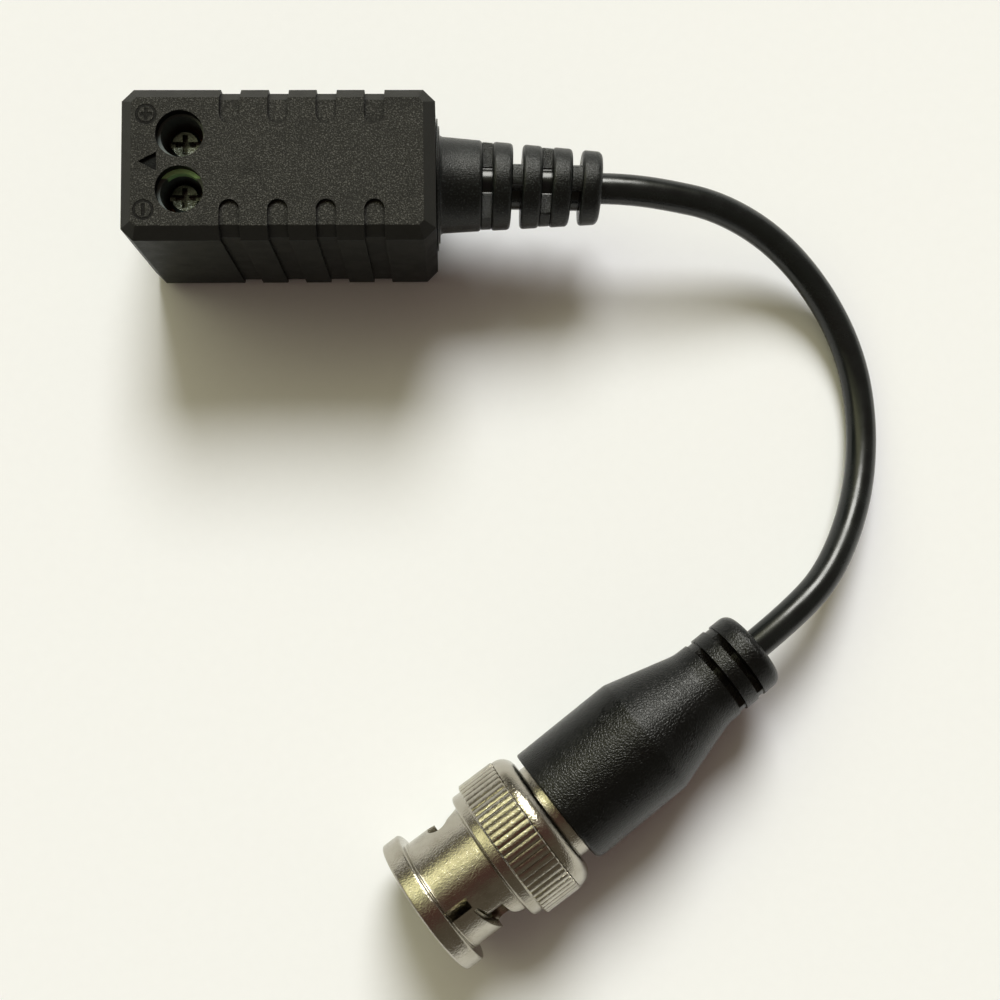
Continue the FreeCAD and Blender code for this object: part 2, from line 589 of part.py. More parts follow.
def terminal_screw(pole, side):
    """Clamping screw with a slot and a cross in one head."""
    body = new_body(f"screw_{pole}")
    body.setExpression(".Placement.Base.x", tied(SCREW_X))
    body.setExpression(".Placement.Base.y", tied(f"{side}(terminal_pitch / 2)"))
    body.setExpression(".Placement.Base.z", tied(f"{WIRE_SPACE} + 2 * rest_gap + plate_thickness"))
    section = new_sketch(body, f"screw_section_{pole}", "XZ_Plane")
    head_top = "(shank_length + head_height)"
    outline(section, [
        ("0", "0"), ("screw_shank / 2 - 0.3", "0"), ("screw_shank / 2", "0.3"),
        ("screw_shank / 2", "shank_length"), ("screw_head / 2", "shank_length"),
        ("screw_head / 2", f"{head_top} - 0.25"), ("screw_head / 2 - 0.25", head_top), ("0", head_top),
    ])
    spin(body, section, f"screw_turned_{pole}", "V_Axis")
    slot = new_sketch(body, f"slot_plan_{pole}", "XY_Plane", head_top)
    rectangle(slot, "-screw_head", "screw_head", "-slot_width / 2", "slot_width / 2")
    extrude("Pocket", body, slot, f"slot_{pole}", "slot_depth")
    arms = [("cross_length", "cross_width"), ("cross_width", "cross_length")]
    for arm, (long_way, short_way) in enumerate(arms):
        cross = new_sketch(body, f"cross_plan_{pole}_{arm}", "XY_Plane", head_top)
        rectangle(cross, f"-{long_way} / 2", f"{long_way} / 2", f"-{short_way} / 2", f"{short_way} / 2")
        extrude("Pocket", body, cross, f"cross_{pole}_{arm}", "cross_depth")
    return body


# Board and what it carries

def circuit_board():
    """Board on the ledges, with holes for the two solder pins."""
    body = new_body("circuit_board")
    plan = new_sketch(body, "board_plan", "XY_Plane", "board_bottom")
    half = f"({CAVITY_WIDTH} - board_side)"
    outline(plan, [
        (f"{BOARD_FRONT} + board_chamfer", f"-{half}"), (f"{BOARD_BACK} - board_chamfer", f"-{half}"),
        (BOARD_BACK, f"-{half} + board_chamfer"), (BOARD_BACK, f"{half} - board_chamfer"),
        (f"{BOARD_BACK} - board_chamfer", half), (f"{BOARD_FRONT} + board_chamfer", half),
        (BOARD_FRONT, f"{half} - board_chamfer"), (BOARD_FRONT, f"-{half} + board_chamfer"),
    ])
    for sign in ("", "-"):
        circle(plan, f"{SCREW_X} + pin_offset", f"{sign}(terminal_pitch / 2)", "pin_hole")
    extrude("Pad", body, plan, "board_solid", "board_thickness")
    return body


CORE_BOTTOM = f"({BOARD_TOP} + winding_thickness + winding_clearance)"


def toroid_core():
    """Ring core of the transformer, lying on the board inside its windings."""
    body = new_body("toroid_core")
    body.setExpression(".Placement.Base.x", tied(CORE_X))
    plan = new_sketch(body, "core_plan", "XY_Plane", CORE_BOTTOM)
    circle(plan, "0", "0", "core_outside")
    circle(plan, "0", "0", "core_inside")
    extrude("Pad", body, plan, "core_solid", "core_height")
    return body


def winding(name, start):
    """One half of the bifilar winding, wrapped round the core's section."""
    body = new_body(name)
    section = new_sketch(body, f"{name}_section", "XZ_Plane")
    inner, outer = "(core_inside / 2 - winding_clearance)", "(core_outside / 2 + winding_clearance)"
    low, high = f"({CORE_BOTTOM} - winding_clearance)", f"({CORE_BOTTOM} + core_height + winding_clearance)"
    rectangle(section, inner, outer, low, high)
    rectangle(section, f"{inner} - winding_thickness", f"{outer} + winding_thickness",
              f"{low} - winding_thickness", f"{high} + winding_thickness")
    spin(body, section, f"{name}_wrap", "V_Axis", "winding_arc")
    turn = FreeCAD.Rotation(FreeCAD.Vector(0, 0, 1), start)
    body.Placement = FreeCAD.Placement(FreeCAD.Vector(worked_out(CORE_X), 0, 0), turn)
    return body


def surge_suppressor():
    """Moulded diode across the pair, with its terminals folded under."""
    body = new_body("surge_suppressor")
    plan = new_sketch(body, "suppressor_plan", "XY_Plane", BOARD_TOP)
    rectangle(plan, f"{SUPPRESSOR_X} - suppressor_width / 2", f"{SUPPRESSOR_X} + suppressor_width / 2",
              "-suppressor_length / 2", "suppressor_length / 2")
    solid = extrude("Pad", body, plan, "suppressor_solid", "suppressor_height")
    top = worked_out(f"{BOARD_TOP} + suppressor_height")
    dress("Chamfer", body, solid, "suppressor_edges", "suppressor_height / 6",
          lambda edge: level(edge, top))
    return body


def chip_components():
    """Row of small chip parts under the board's far end."""
    chips = []
    for place in range(round(size("chip_count"))):
        chip = doc.addObject("Part::Box", f"chip_{place}")
        chip.setExpression("Length", tied("chip_width"))
        chip.setExpression("Width", tied("chip_length"))
        chip.setExpression("Height", tied("chip_height"))
        chip.setExpression(".Placement.Base.x", tied(f"{BOARD_BACK} - chip_place - chip_width / 2"))
        across = f"({place} - (chip_count - 1) / 2) * chip_pitch - chip_length / 2"
        chip.setExpression(".Placement.Base.y", tied(across))
        chip.setExpression(".Placement.Base.z", tied("board_bottom - chip_height"))
        chips.append(chip)
    group = doc.addObject("Part::Compound", "chip_components")
    group.Label = "chip_components"
    group.Links = chips
    return group


# Strain relief and cable

def relief_frame(yaw=None):
    """Placement of the relief's leaning part: X along its axis, from the wall's outer face."""
    place = FreeCAD.Vector(size("housing_length") / 2, size("relief_side"), size("relief_height"))
    lean = size("relief_yaw") if yaw is None else yaw
    return FreeCAD.Placement(place, FreeCAD.Rotation(FreeCAD.Vector(0, 0, 1), lean))


def relief_radius(along):
    """Radius of the relief's tapered outline at a distance from the wall."""
    root = "(wall_clearance + 2 * flange_step)"
    share = f"(({along}) - {root}) / (relief_length - {root})"
    return f"(relief_root / 2 - (relief_root - relief_tip) / 2 * {share})"


def leaning_sketch(body, name, role, along):
    """A sketch on one of the relief's upright planes, turned and moved with its leaning axis."""
    drawing = new_sketch(body, name, role)
    lean = FreeCAD.Rotation(FreeCAD.Vector(0, 1, 0), size("relief_yaw"))
    drawing.AttachmentOffset = FreeCAD.Placement(FreeCAD.Vector(), lean)
    drawing.setExpression(".AttachmentOffset.Base.x", tied(f"({along}) * sin(relief_yaw)"))
    drawing.setExpression(".AttachmentOffset.Base.z", tied(f"({along}) * cos(relief_yaw)"))
    return drawing


def strain_relief():
    """Moulded relief: anchor, stepped flange, and rings joined by webs turned a quarter each.

    The anchor and the flange stand square to the wall, and the rings lean from there.
    """
    body = new_body("strain_relief")
    held = new_sketch(body, "flange_section", "XZ_Plane")
    flange = "(wall_clearance + flange_step)"
    root = "(wall_clearance + 2 * flange_step)"
    anchor_back = "(-side_wall - wall_clearance)"
    neck = "(relief_hole / 2 - neck_gap)"
    outline(held, [
        (f"{anchor_back} - anchor_thickness", "0"),
        (f"{anchor_back} - anchor_thickness", "anchor_diameter / 2"),
        (anchor_back, "anchor_diameter / 2"), (anchor_back, neck),
        ("wall_clearance", neck), ("wall_clearance", "collar_diameter / 2"),
        (flange, "collar_diameter / 2"), (flange, "step_diameter / 2"),
        (root, "step_diameter / 2"), (root, "0"),
    ])
    spin(body, held, "flange_turned", "H_Axis")
    section = leaning_sketch(body, "relief_section", "XZ_Plane", "0")
    points = [
        ("0", "0"), ("0", "relief_core / 2"), (flange, "relief_core / 2"), (flange, "relief_root / 2"),
    ]
    for slot in range(4):
        middle = f"slot_first + {slot} * slot_pitch"
        for side, order in (("-", 1), ("+", -1)):
            edge = f"({middle} {side} slot_gap / 2)"
            points += [(edge, relief_radius(edge)), (edge, "relief_core / 2")][::order]
    points += [
        ("relief_length - tip_round", "relief_tip / 2"),
        ("relief_length - 0.3 * tip_round", "relief_tip / 2 - 0.3 * tip_round"),
        ("relief_length", "relief_tip / 2 - tip_round"), ("relief_length", "0"),
    ]
    outline(section, points)
    spin(body, section, "relief_turned", "H_Axis")
    for slot in range(4):
        middle = f"slot_first + {slot} * slot_pitch"
        across = f"({relief_radius(middle)} - web_inset)"
        web = leaning_sketch(body, f"web_shape_{slot}", "YZ_Plane", middle)
        half_web = "(web_thin / 2)" if slot % 2 else "(web_thickness / 2)"
        lean = f"(sqrt({across} * {across} - {half_web} * {half_web}))"
        corners = [(lean, half_web), (across, f"{half_web} / 2"), (across, f"-{half_web} / 2"),
                   (lean, f"-{half_web}"), (f"-{lean}", f"-{half_web}"), (f"-{across}", f"-{half_web} / 2"),
                   (f"-{across}", f"{half_web} / 2"), (f"-{lean}", half_web)]
        if slot % 2:
            corners = [(up, over) for over, up in corners]
        outline(web, corners)
        extrude("Pad", body, web, f"web_{slot}", "slot_gap + 2 * web_root", both_ways=True)
    body.Placement = relief_frame(yaw=0)
    return body


def many_sided(middle, along, diameter):
    """An upright regular outline about a point, square to a direction."""
    across = along.cross(FreeCAD.Vector(0, 0, 1)).normalize()
    above = across.cross(along).normalize()
    turns = [2 * math.pi * (side + 0.5) / TUBE_SIDES for side in range(TUBE_SIDES + 1)]
    return Part.makePolygon([middle + (across * math.cos(turn) + above * math.sin(turn)) * (diameter / 2)
                             for turn in turns])


def tube(name, corners, diameter):
    """A plain tube along straight runs joined by tangent arcs."""
    points = [FreeCAD.Vector(*corner) for corner in corners]
    edges, start, radii = [], points[0], []
    for before, corner, after in zip(points, points[1:], points[2:]):
        towards, away = before - corner, after - corner
        shorter = min(towards.Length, away.Length)
        towards.normalize()
        away.normalize()
        reach = ARC_SHARE * shorter
        half_turn = (math.pi - towards.getAngle(away)) / 2
        radii.append(reach / math.tan(half_turn))
        enter, leave = corner + towards * reach, corner + away * reach
        inwards = towards + away
        inwards.normalize()
        middle = corner + inwards * (radii[-1] / math.cos(half_turn) - radii[-1])
        edges.append(Part.LineSegment(start, enter).toShape())
        edges.append(Part.Arc(enter, middle, leave).toShape())
        start = leave
    edges.append(Part.LineSegment(start, points[-1]).toShape())
    path = Part.Wire(edges)
    section = many_sided(points[0], points[1] - points[0], diameter)
    feature = doc.addObject("Part::Feature", name)
    feature.Label = name
    feature.Shape = path.makePipeShell([section], True, False)
    share = feature.Shape.Volume / (Part.Face(section).Area * path.Length)
    print(f"{name}: length {path.Length:.2f}, radii {[round(radius, 1) for radius in radii]}, "
          f"volume share {share:.5f}")
    return feature


def cable():
    """The pigtail, from the relief's end face to the boot's."""
    relief_end, boot_end = size("relief_length"), size("boot_back")
    leaving = [relief_frame().multVec(FreeCAD.Vector(along, 0, 0))
               for along in (relief_end, relief_end + STRAIGHT_OUT)]
    arriving = [boot_frame().multVec(FreeCAD.Vector(0, 0, along))
                for along in (boot_end + STRAIGHT_IN, boot_end)]
    return tube("cable", [*leaving, *CABLE_CORNERS, *arriving], size("cable_diameter"))


def cable_ends():
    """Stripped end of the cable inside the housing, its wires soldered to the board's far corners."""
    frame = relief_frame(yaw=0)
    anchor = -size("side_wall") - size("wall_clearance") - size("anchor_thickness")
    inner = anchor - DIELECTRIC_LENGTH
    beside = -DIELECTRIC_DIAMETER - BRAID_DIAMETER
    landing, board_top = worked_out(BOARD_BACK) - WIRE_LANDING, worked_out(BOARD_TOP)
    pieces = [
        ("cable_dielectric", DIELECTRIC_DIAMETER, (anchor, 0, 0),
         frame.multVec(FreeCAD.Vector(inner, 0, 0))),
        ("centre_conductor", WIRE_DIAMETER, (inner - WIRE_DIAMETER / 2, 0, 0),
         FreeCAD.Vector(landing, WIRE_SIDE, board_top)),
        ("braid_tail", BRAID_DIAMETER, (anchor - BRAID_DIAMETER / 2, beside, 0),
         FreeCAD.Vector(landing, -WIRE_SIDE, board_top)),
    ]
    for name, diameter, begin, finish in pieces:
        start = frame.multVec(FreeCAD.Vector(*begin))
        run = finish - start
        if abs(run.z) > 1:
            finish.z += diameter / 2 * math.hypot(run.x, run.y) / run.Length
        piece = doc.addObject("Part::Feature", name)
        piece.Label = name
        piece.Shape = Part.makeCylinder(diameter / 2, (finish - start).Length, start, finish - start)


# Plug

def plug_frame(turn=0.0):
    """Placement on the plug's axis: local Z towards the cable, local X up, then a turn."""
    place = FreeCAD.Vector(size("plug_x"), size("plug_y"), size("knurl_diameter") / 2)
    heading = FreeCAD.Rotation(FreeCAD.Vector(0, 0, 1), size("plug_heading"))
    lying = FreeCAD.Rotation(FreeCAD.Vector(1, 0, 1), 180)
    about = FreeCAD.Rotation(FreeCAD.Vector(0, 0, 1), turn)
    return FreeCAD.Placement(place, heading * lying * about)


def boot_frame():
    """Placement of the boot, which leans about a point on the plug's axis."""
    pivot = FreeCAD.Vector(0, 0, size("boot_pivot"))
    lean = FreeCAD.Rotation(FreeCAD.Vector(1, 0, 0), size("boot_yaw"))
    return plug_frame() * FreeCAD.Placement(pivot, lean) * FreeCAD.Placement(-pivot, FreeCAD.Rotation())


def turned(name, points, frame):
    """A body turned about its local Z axis from pairs of radius and place."""
    body = new_body(name)
    section = new_sketch(body, f"{name}_section", "XZ_Plane")
    outline(section, points)
    spin(body, section, f"{name}_turned", "V_Axis")
    body.Placement = frame
    return body


UP = FreeCAD.Vector(0, 0, 1)
IN_BORE = "(mouth_bore / 2 - base_gap)"
ROUND_WAIST = "(waist_diameter / 2 + washer_gap)"


def coupling_ring():
    """Bayonet ring: flange, sleeve with two cam slots, knurl and domed rear."""
    body = new_body("coupling_ring")
    section = new_sketch(body, "ring_section", "XZ_Plane")
    outline(section, [
        ("mouth_bore / 2 + mouth_chamfer", "ring_front"), ("flange_diameter / 2", "ring_front"),
        ("flange_diameter / 2", "flange_back"), ("sleeve_diameter / 2", "flange_back"),
        ("sleeve_diameter / 2", "sleeve_back"), ("shoulder_diameter / 2 - shoulder_bevel", "sleeve_back"),
        ("shoulder_diameter / 2", "sleeve_back + shoulder_bevel"),
        ("shoulder_diameter / 2", "knurl_front"), ("knurl_diameter / 2", "knurl_front"),
        ("knurl_diameter / 2", "knurl_back"), ("dome_diameter / 2", "knurl_back"),
        ("dome_diameter / 2", "ring_back - dome_round"),
        ("dome_diameter / 2 - 0.3 * dome_round", "ring_back - 0.3 * dome_round"),
        ("dome_diameter / 2 - dome_round", "ring_back"),
        ("waist_diameter / 2 + turn_clearance", "ring_back"),
        ("waist_diameter / 2 + turn_clearance", "web_front"), ("mouth_bore / 2", "web_front"),
        ("mouth_bore / 2", "ring_front + mouth_chamfer"),
    ])
    solid = spin(body, section, "ring_turned", "V_Axis")
    wide, places = size("flange_diameter"), (size("flange_back"), size("ring_front"))
    dress("Chamfer", body, solid, "ring_edges", "edge_bevel",
          lambda edge: any(ring_edge(edge, wide, place, UP) for place in places))
    key = new_sketch(body, "key_shape", "XY_Plane", "ring_front - 1")
    rectangle(key, "mouth_bore / 2 - 1", "key_height", "key_side", "key_side + key_width")
    keyway = extrude("Pocket", body, key, "keyway", "key_back - ring_front + 1", backwards=True)
    cam = new_sketch(body, "cam_shape", "XZ_Plane")
    cam_outline(cam)
    slot = extrude("Pocket", body, cam, "cam_slot", "sleeve_diameter", backwards=False)
    slots = round_of(body, [keyway, slot], "cam_slots", "Z_Axis", "2")
    groove = new_sketch(body, "groove_shape", "XY_Plane", "knurl_front - 1")
    outside = "(knurl_diameter / 2 + knurl_depth / 4)"
    half = "(knurl_groove * 0.625)"
    outline(groove, [(outside, f"-{half}"), (outside, half), ("knurl_diameter / 2 - knurl_depth", "0")])
    cut = extrude("Pocket", body, groove, "groove", "knurl_back - knurl_front + 1", backwards=True)
    round_of(body, [cut], "knurl", "Z_Axis", "knurl_ridges")
    body.Placement = plug_frame(size("ring_turn"))
    return body


def cam_outline(drawing):
    """Side view of a cam slot: helical front edge, lug seat with a round end, pocket at the rear."""
    radius = worked_out("(cam_back - detent_front) / 2")
    seat = FreeCAD.Vector(-size("detent_drop"), worked_out("(cam_back + detent_front) / 2"), 0)
    corners = [
        ("-detent_drop", "cam_back"), ("-0.6 * detent_drop", "pocket_back"), ("0.5", "pocket_back"),
        ("0.5 * cam_top", "cam_back"), ("cam_top", "cam_rear"), ("cam_top", "cam_nose - 0.1"),
        ("key_height - 0.1", "key_back"), ("key_height - 0.5", "key_back - 0.16"),
        ("0.75", "cam_nose"), ("0.15", "detent_front"), ("-detent_drop", "detent_front"),
    ]
    places = [FreeCAD.Vector(worked_out(across), worked_out(up), 0) for across, up in corners]
    for place, following in zip(places, places[1:]):
        drawing.addGeometry(Part.LineSegment(place, following))
    last = len(corners) - 1
    end = Part.Circle(seat, FreeCAD.Vector(0, 0, 1), radius)
    drawing.addGeometry(Part.ArcOfCircle(end, math.pi / 2, 3 * math.pi / 2))
    for step in range(last - 1):
        drawing.addConstraint(Sketcher.Constraint("Coincident", step, 2, step + 1, 1))
    drawing.addConstraint(Sketcher.Constraint("Coincident", last, 1, 0, 1))
    drawing.addConstraint(Sketcher.Constraint("Coincident", last, 2, last - 1, 2))
    for step, (across, up) in enumerate(corners):
        line, point = (step, 1) if step < last else (last - 1, 2)
        for kind, expression in (("DistanceX", across), ("DistanceY", up)):
            held = Sketcher.Constraint(kind, -1, 1, line, point, worked_out(expression))
            index = drawing.addConstraint(held)
            drawing.setExpression(f"Constraints[{index}]", tied(expression))
    held = drawing.addConstraint(Sketcher.Constraint("DistanceX", -1, 1, last, 3, seat.x))
    drawing.setExpression(f"Constraints[{held}]", tied("-detent_drop"))


def plug_body():
    """Turned body: slit contact tube, base flange, waist and crimp tail."""
    body = turned("plug_body", [
        ("tube_inside / 2", "tube_front"), ("tube_outside / 2 - 0.15", "tube_front"),
        ("tube_outside / 2", "tube_front + 0.4"), ("tube_outside / 2", "base_front"),
        (IN_BORE, "base_front"), (IN_BORE, "base_back"),
        ("waist_diameter / 2", "base_back"), ("waist_diameter / 2", "waist_back"),
        ("tail_diameter / 2", "waist_back"), ("tail_diameter / 2", "tail_back"),
        ("tail_bore / 2", "tail_back"), ("tail_bore / 2", "insulator_back"),
        ("tube_inside / 2", "insulator_back"),
    ], plug_frame())
    slit = new_sketch(body, "slit_shape", "XY_Plane", "tube_front - 1")
    rectangle(slit, "-tube_outside", "tube_outside", "-tube_slot / 2", "tube_slot / 2")
    cut = extrude("Pocket", body, slit, "slit", "tube_slot_depth + 1", backwards=True)
    round_of(body, [cut], "slits", "Z_Axis", "4")
    return body


def plug_pieces():
    """Everything else on the plug's axis, from the mouth to the boot."""
    frame = plug_frame()
    turned("plug_insulator", [
        ("contact_diameter / 2 + contact_clearance", "insulator_front"),
        ("tube_inside / 2 - contact_clearance", "insulator_front"),
        ("tube_inside / 2 - contact_clearance", "insulator_back - contact_clearance"),
        ("contact_diameter / 2 + contact_clearance", "insulator_back - contact_clearance"),
    ], frame)
    turned("centre_pin", [
        ("0", "contact_front"), ("contact_diameter / 2 - contact_point", "contact_front"),
        ("contact_diameter / 2", "contact_front + contact_point"), ("contact_diameter / 2", "contact_back"),
        ("0", "contact_back"),
    ], frame)
    seal_bore = "tube_outside / 2 + gasket_clearance"
    seal_edge = "mouth_bore / 2 - 2 * gasket_clearance"
    turned("gasket", [
        (seal_bore, "base_front - gasket_thickness"), (seal_edge, "base_front - gasket_thickness"),
        (seal_edge, "base_front"), (seal_bore, "base_front"),
    ], frame)
    washer_back = "(web_front - rest_gap)"
    washer_front = f"({washer_back} - washer_thickness)"
    turned("thrust_washer", [
        (ROUND_WAIST, washer_front), (IN_BORE, washer_front),
        (IN_BORE, washer_back), (ROUND_WAIST, washer_back),
    ], frame)
    turned("wave_spring", [
        (ROUND_WAIST, f"{washer_front} - spring_thickness"),
        (IN_BORE, f"{washer_front} - spring_thickness"),
        (IN_BORE, washer_front), (ROUND_WAIST, washer_front),
    ], frame)
    collar_front = "(ring_back + collar_gap)"
    turned("retaining_collar", [
        ("waist_diameter / 2 + collar_clearance", collar_front), ("collar_outside / 2", collar_front),
        ("collar_outside / 2", "waist_back"), ("waist_diameter / 2 + collar_clearance", "waist_back"),
    ], frame)


def plug_boot():
    """Moulded boot: plain front, cone and a grooved neck."""
    pocket_end = "(waist_back + pocket_clearance)"
    body = turned("plug_boot", [
        ("collar_outside / 2 + pocket_clearance", "boot_front"),
        ("boot_diameter / 2 - mouth_bevel", "boot_front"),
        ("boot_diameter / 2", "boot_front + mouth_bevel"),
        ("boot_diameter / 2", "cone_front"), ("boot_neck / 2", "cone_back"),
        ("boot_neck / 2", "boot_back - boot_round"),
        ("boot_neck / 2 - 0.3 * boot_round", "boot_back - 0.3 * boot_round"),
        ("boot_neck / 2 - boot_round", "boot_back"), ("0", "boot_back"),
        ("0", "tail_back + tail_clearance"),
        ("tail_diameter / 2 + tail_clearance", "tail_back + tail_clearance"),
        ("tail_diameter / 2 + tail_clearance", pocket_end),
        ("collar_outside / 2 + pocket_clearance", pocket_end),
    ], boot_frame())
    section = new_sketch(body, "groove_section", "XZ_Plane")
    low, high = "groove_first - groove_width / 2", "groove_first + groove_width / 2"
    rectangle(section, "boot_neck / 2 - groove_depth", "boot_neck", low, high)
    groove = body.newObject("PartDesign::Groove", "boot_groove")
    groove.Profile = section
    groove.ReferenceAxis = (section, ["V_Axis"])
    groove.Angle = 360
    body.Tip = groove
    row_of(body, [groove], "boot_grooves", "Z_Axis", "groove_pitch", "groove_count")
    return body


top_shell()
bottom_shell()
terminal_block()
for pole, side in (("plus", ""), ("minus", "-")):
    clamp_cage(pole, side)
    pressure_plate(pole, side)
    terminal_screw(pole, side)
circuit_board()
toroid_core()
winding("primary_winding", size("winding_start"))
winding("secondary_winding", size("winding_start") + 180)
surge_suppressor()
chip_components()
strain_relief()
cable()
cable_ends()
coupling_ring()
plug_body()
plug_pieces()
plug_boot()
doc.recompute()

NODES = [
    "top_shell", "bottom_shell", "terminal_block", "clamp_cage_plus", "clamp_cage_minus",
    "pressure_plate_plus", "pressure_plate_minus", "screw_plus", "screw_minus", "circuit_board",
    "toroid_core", "primary_winding", "secondary_winding", "surge_suppressor", "chip_components",
    "strain_relief", "cable", "cable_dielectric", "centre_conductor", "braid_tail", "coupling_ring",
    "plug_body", "plug_insulator", "centre_pin", "gasket", "thrust_washer", "wave_spring",
    "retaining_collar", "plug_boot",
]

for item in doc.Objects:
    if "Invalid" in item.State or "Error" in item.State:
        raise RuntimeError(f"{item.Label} failed: {item.State}")

os.makedirs("parts", exist_ok=True)
for label in NODES:
    node = doc.getObjectsByLabel(label)[0]
    if node.Shape.isNull() or not node.Shape.isValid():
        raise RuntimeError(f"{label} has no valid shape")
    node.Shape.exportStep(f"parts/{label}.step")
    box = node.Shape.BoundBox
    print(f"{label}: {len(node.Shape.Solids)} solid(s), volume {node.Shape.Volume:.2f}, "
          f"Z {box.ZMin:.2f} to {box.ZMax:.2f}")
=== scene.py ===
import json
import math
import bpy
import bmesh
from mathutils import Matrix, Vector


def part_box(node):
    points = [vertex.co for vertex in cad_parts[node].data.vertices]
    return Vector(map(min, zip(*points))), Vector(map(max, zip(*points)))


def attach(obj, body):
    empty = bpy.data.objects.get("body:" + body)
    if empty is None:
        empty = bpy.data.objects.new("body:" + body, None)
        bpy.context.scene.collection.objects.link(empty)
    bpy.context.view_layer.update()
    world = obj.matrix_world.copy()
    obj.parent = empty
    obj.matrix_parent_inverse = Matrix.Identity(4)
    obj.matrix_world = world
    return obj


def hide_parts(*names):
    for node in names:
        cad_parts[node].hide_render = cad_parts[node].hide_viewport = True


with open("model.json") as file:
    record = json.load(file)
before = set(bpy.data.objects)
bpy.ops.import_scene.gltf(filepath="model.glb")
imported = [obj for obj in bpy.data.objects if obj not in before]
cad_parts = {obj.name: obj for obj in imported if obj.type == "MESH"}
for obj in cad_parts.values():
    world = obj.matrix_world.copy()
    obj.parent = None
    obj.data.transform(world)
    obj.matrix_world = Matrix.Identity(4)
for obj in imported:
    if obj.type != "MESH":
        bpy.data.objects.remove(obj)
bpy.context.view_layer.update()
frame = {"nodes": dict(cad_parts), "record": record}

# The scene is in metres and in the frame of the solids: origin under the middle of the housing, +X
# along it towards the strain relief, +Z up. Shapes are given in millimetres: "place" runs along the
# shape's own axis and "reach" is a radius round it. Angles of constants are in degrees.

MM = 0.001
ROOT = "housing_and_cord"


def axis_frame(origin, heading, turn=0.0):
    """Matrix of a level axis: local Z along the heading, local X up, then a turn about Z."""
    along = Vector((math.cos(math.radians(heading)), math.sin(math.radians(heading)), 0))
    up = Vector((0, 0, 1))
    side = along.cross(up)
    placed = Matrix((up, side, along)).transposed().to_4x4()
    placed.translation = Vector(origin) * MM
    return placed @ Matrix.Rotation(math.radians(turn), 4, "Z")


PLUG_ORIGIN = (21.616, -62.479, 7.2)
PLUG_HEADING = 35.583
RING_TURN = -9.3
BOOT_LEAN = 2.2
BOOT_PIVOT = 3.0
RELIEF_ORIGIN = (14.4, 0.38, 9.5)
RELIEF_HEADING = -1.3

PLUG = axis_frame(PLUG_ORIGIN, PLUG_HEADING)
RING = axis_frame(PLUG_ORIGIN, PLUG_HEADING, RING_TURN)
LEAN = Matrix.Rotation(math.radians(BOOT_LEAN), 4, "X")
PIVOT = Matrix.Translation((0, 0, BOOT_PIVOT * MM))
BOOT = PLUG @ PIVOT @ LEAN @ PIVOT.inverted()
RELIEF = axis_frame(RELIEF_ORIGIN, RELIEF_HEADING)


# Camera, calibrated on the photo

camera_data = bpy.data.cameras.new("camera")
camera_data.lens = 51.305
camera_data.sensor_width = 36.0
camera_data.clip_start = 0.005
camera_data.clip_end = 10.0
camera = bpy.data.objects.new("camera", camera_data)
bpy.context.collection.objects.link(camera)
camera.location = (0.015554, -0.043080, 0.145128)
camera.rotation_euler = [math.radians(angle) for angle in (5.328, -1.880, -0.771)]
bpy.context.scene.camera = camera


# Cord

CABLE_POINTS = [
    (30.3459, 0.0181, 9.5), (32.5453, -0.0318, 9.5), (36.4, -0.42, 9.2), (42.4, -1.3, 7.9),
    (48.7, -4.1, 5.0), (53.8, -9.2, 2.6), (57.0, -15.7, 1.5), (57.8, -22.9, 1.5),
    (56.5, -30.3, 3.0), (53.0, -37.3, 5.7), (48.9509, -41.4333, 7.2), (44.6832, -44.7419, 7.2),
]
CABLE_DIAMETER = 3.0


def make_cord(name, points, diameter):
    """A round cord along a smooth curve that has the points as its control points."""
    curve = bpy.data.curves.new(name, "CURVE")
    curve.dimensions = "3D"
    curve.bevel_depth = diameter / 2 * MM
    curve.bevel_resolution = 10
    curve.resolution_u = 16
    curve.use_fill_caps = True
    spline = curve.splines.new("NURBS")
    spline.points.add(len(points) - 1)
    for target, point in zip(spline.points, points):
        target.co = (*(Vector(point) * MM), 1)
    spline.order_u = 3
    spline.use_endpoint_u = True
    cord = bpy.data.objects.new(name, curve)
    bpy.context.collection.objects.link(cord)
    return cord


cable = make_cord("pigtail", CABLE_POINTS, CABLE_DIAMETER)


# Mesh helpers

MOULDING_EDGE = 50
METAL_EDGE = 35
LARGEST_CUT = 0.48


def finish_mesh(name, vertices, faces, placed):
    """A smooth-shaded object from faces and from vertices in millimetres of a placement."""
    mesh = bpy.data.meshes.new(name)
    mesh.from_pydata([tuple(placed @ (Vector(vertex) * MM)) for vertex in vertices], [], faces)
    mesh.update()
    mesh.shade_smooth()
    piece = bpy.data.objects.new(name, mesh)
    bpy.context.collection.objects.link(piece)
    return piece


def polar(name, placed, stations, radius, sides, closed=False, lean=None):
    """A surface round local Z. stations are (place, key) pairs, and radius(key, angle) is the reach there.

    closed joins the last station to the first, for a hollow ring; otherwise the ends are capped.
    lean gives the tilt about local X, in degrees, of the station at a place.
    """
    vertices, faces = [], []
    for place, key in stations:
        tilt = math.radians(lean(place)) if lean else 0.0
        for side in range(sides):
            angle = 2 * math.pi * side / sides
            reach = radius(key, angle)
            across = reach * math.sin(angle)
            vertices.append((reach * math.cos(angle), across * math.cos(tilt),
                             place - across * math.sin(tilt)))
    rows = len(stations)
    for row in range(rows if closed else rows - 1):
        below, above = row * sides, (row + 1) % rows * sides
        for side in range(sides):
            following = (side + 1) % sides
            faces.append((below + side, below + following, above + following, above + side))
    if not closed:
        faces.append(tuple(reversed(range(sides))))
        faces.append(tuple(range((rows - 1) * sides, rows * sides)))
    return finish_mesh(name, vertices, faces, placed)


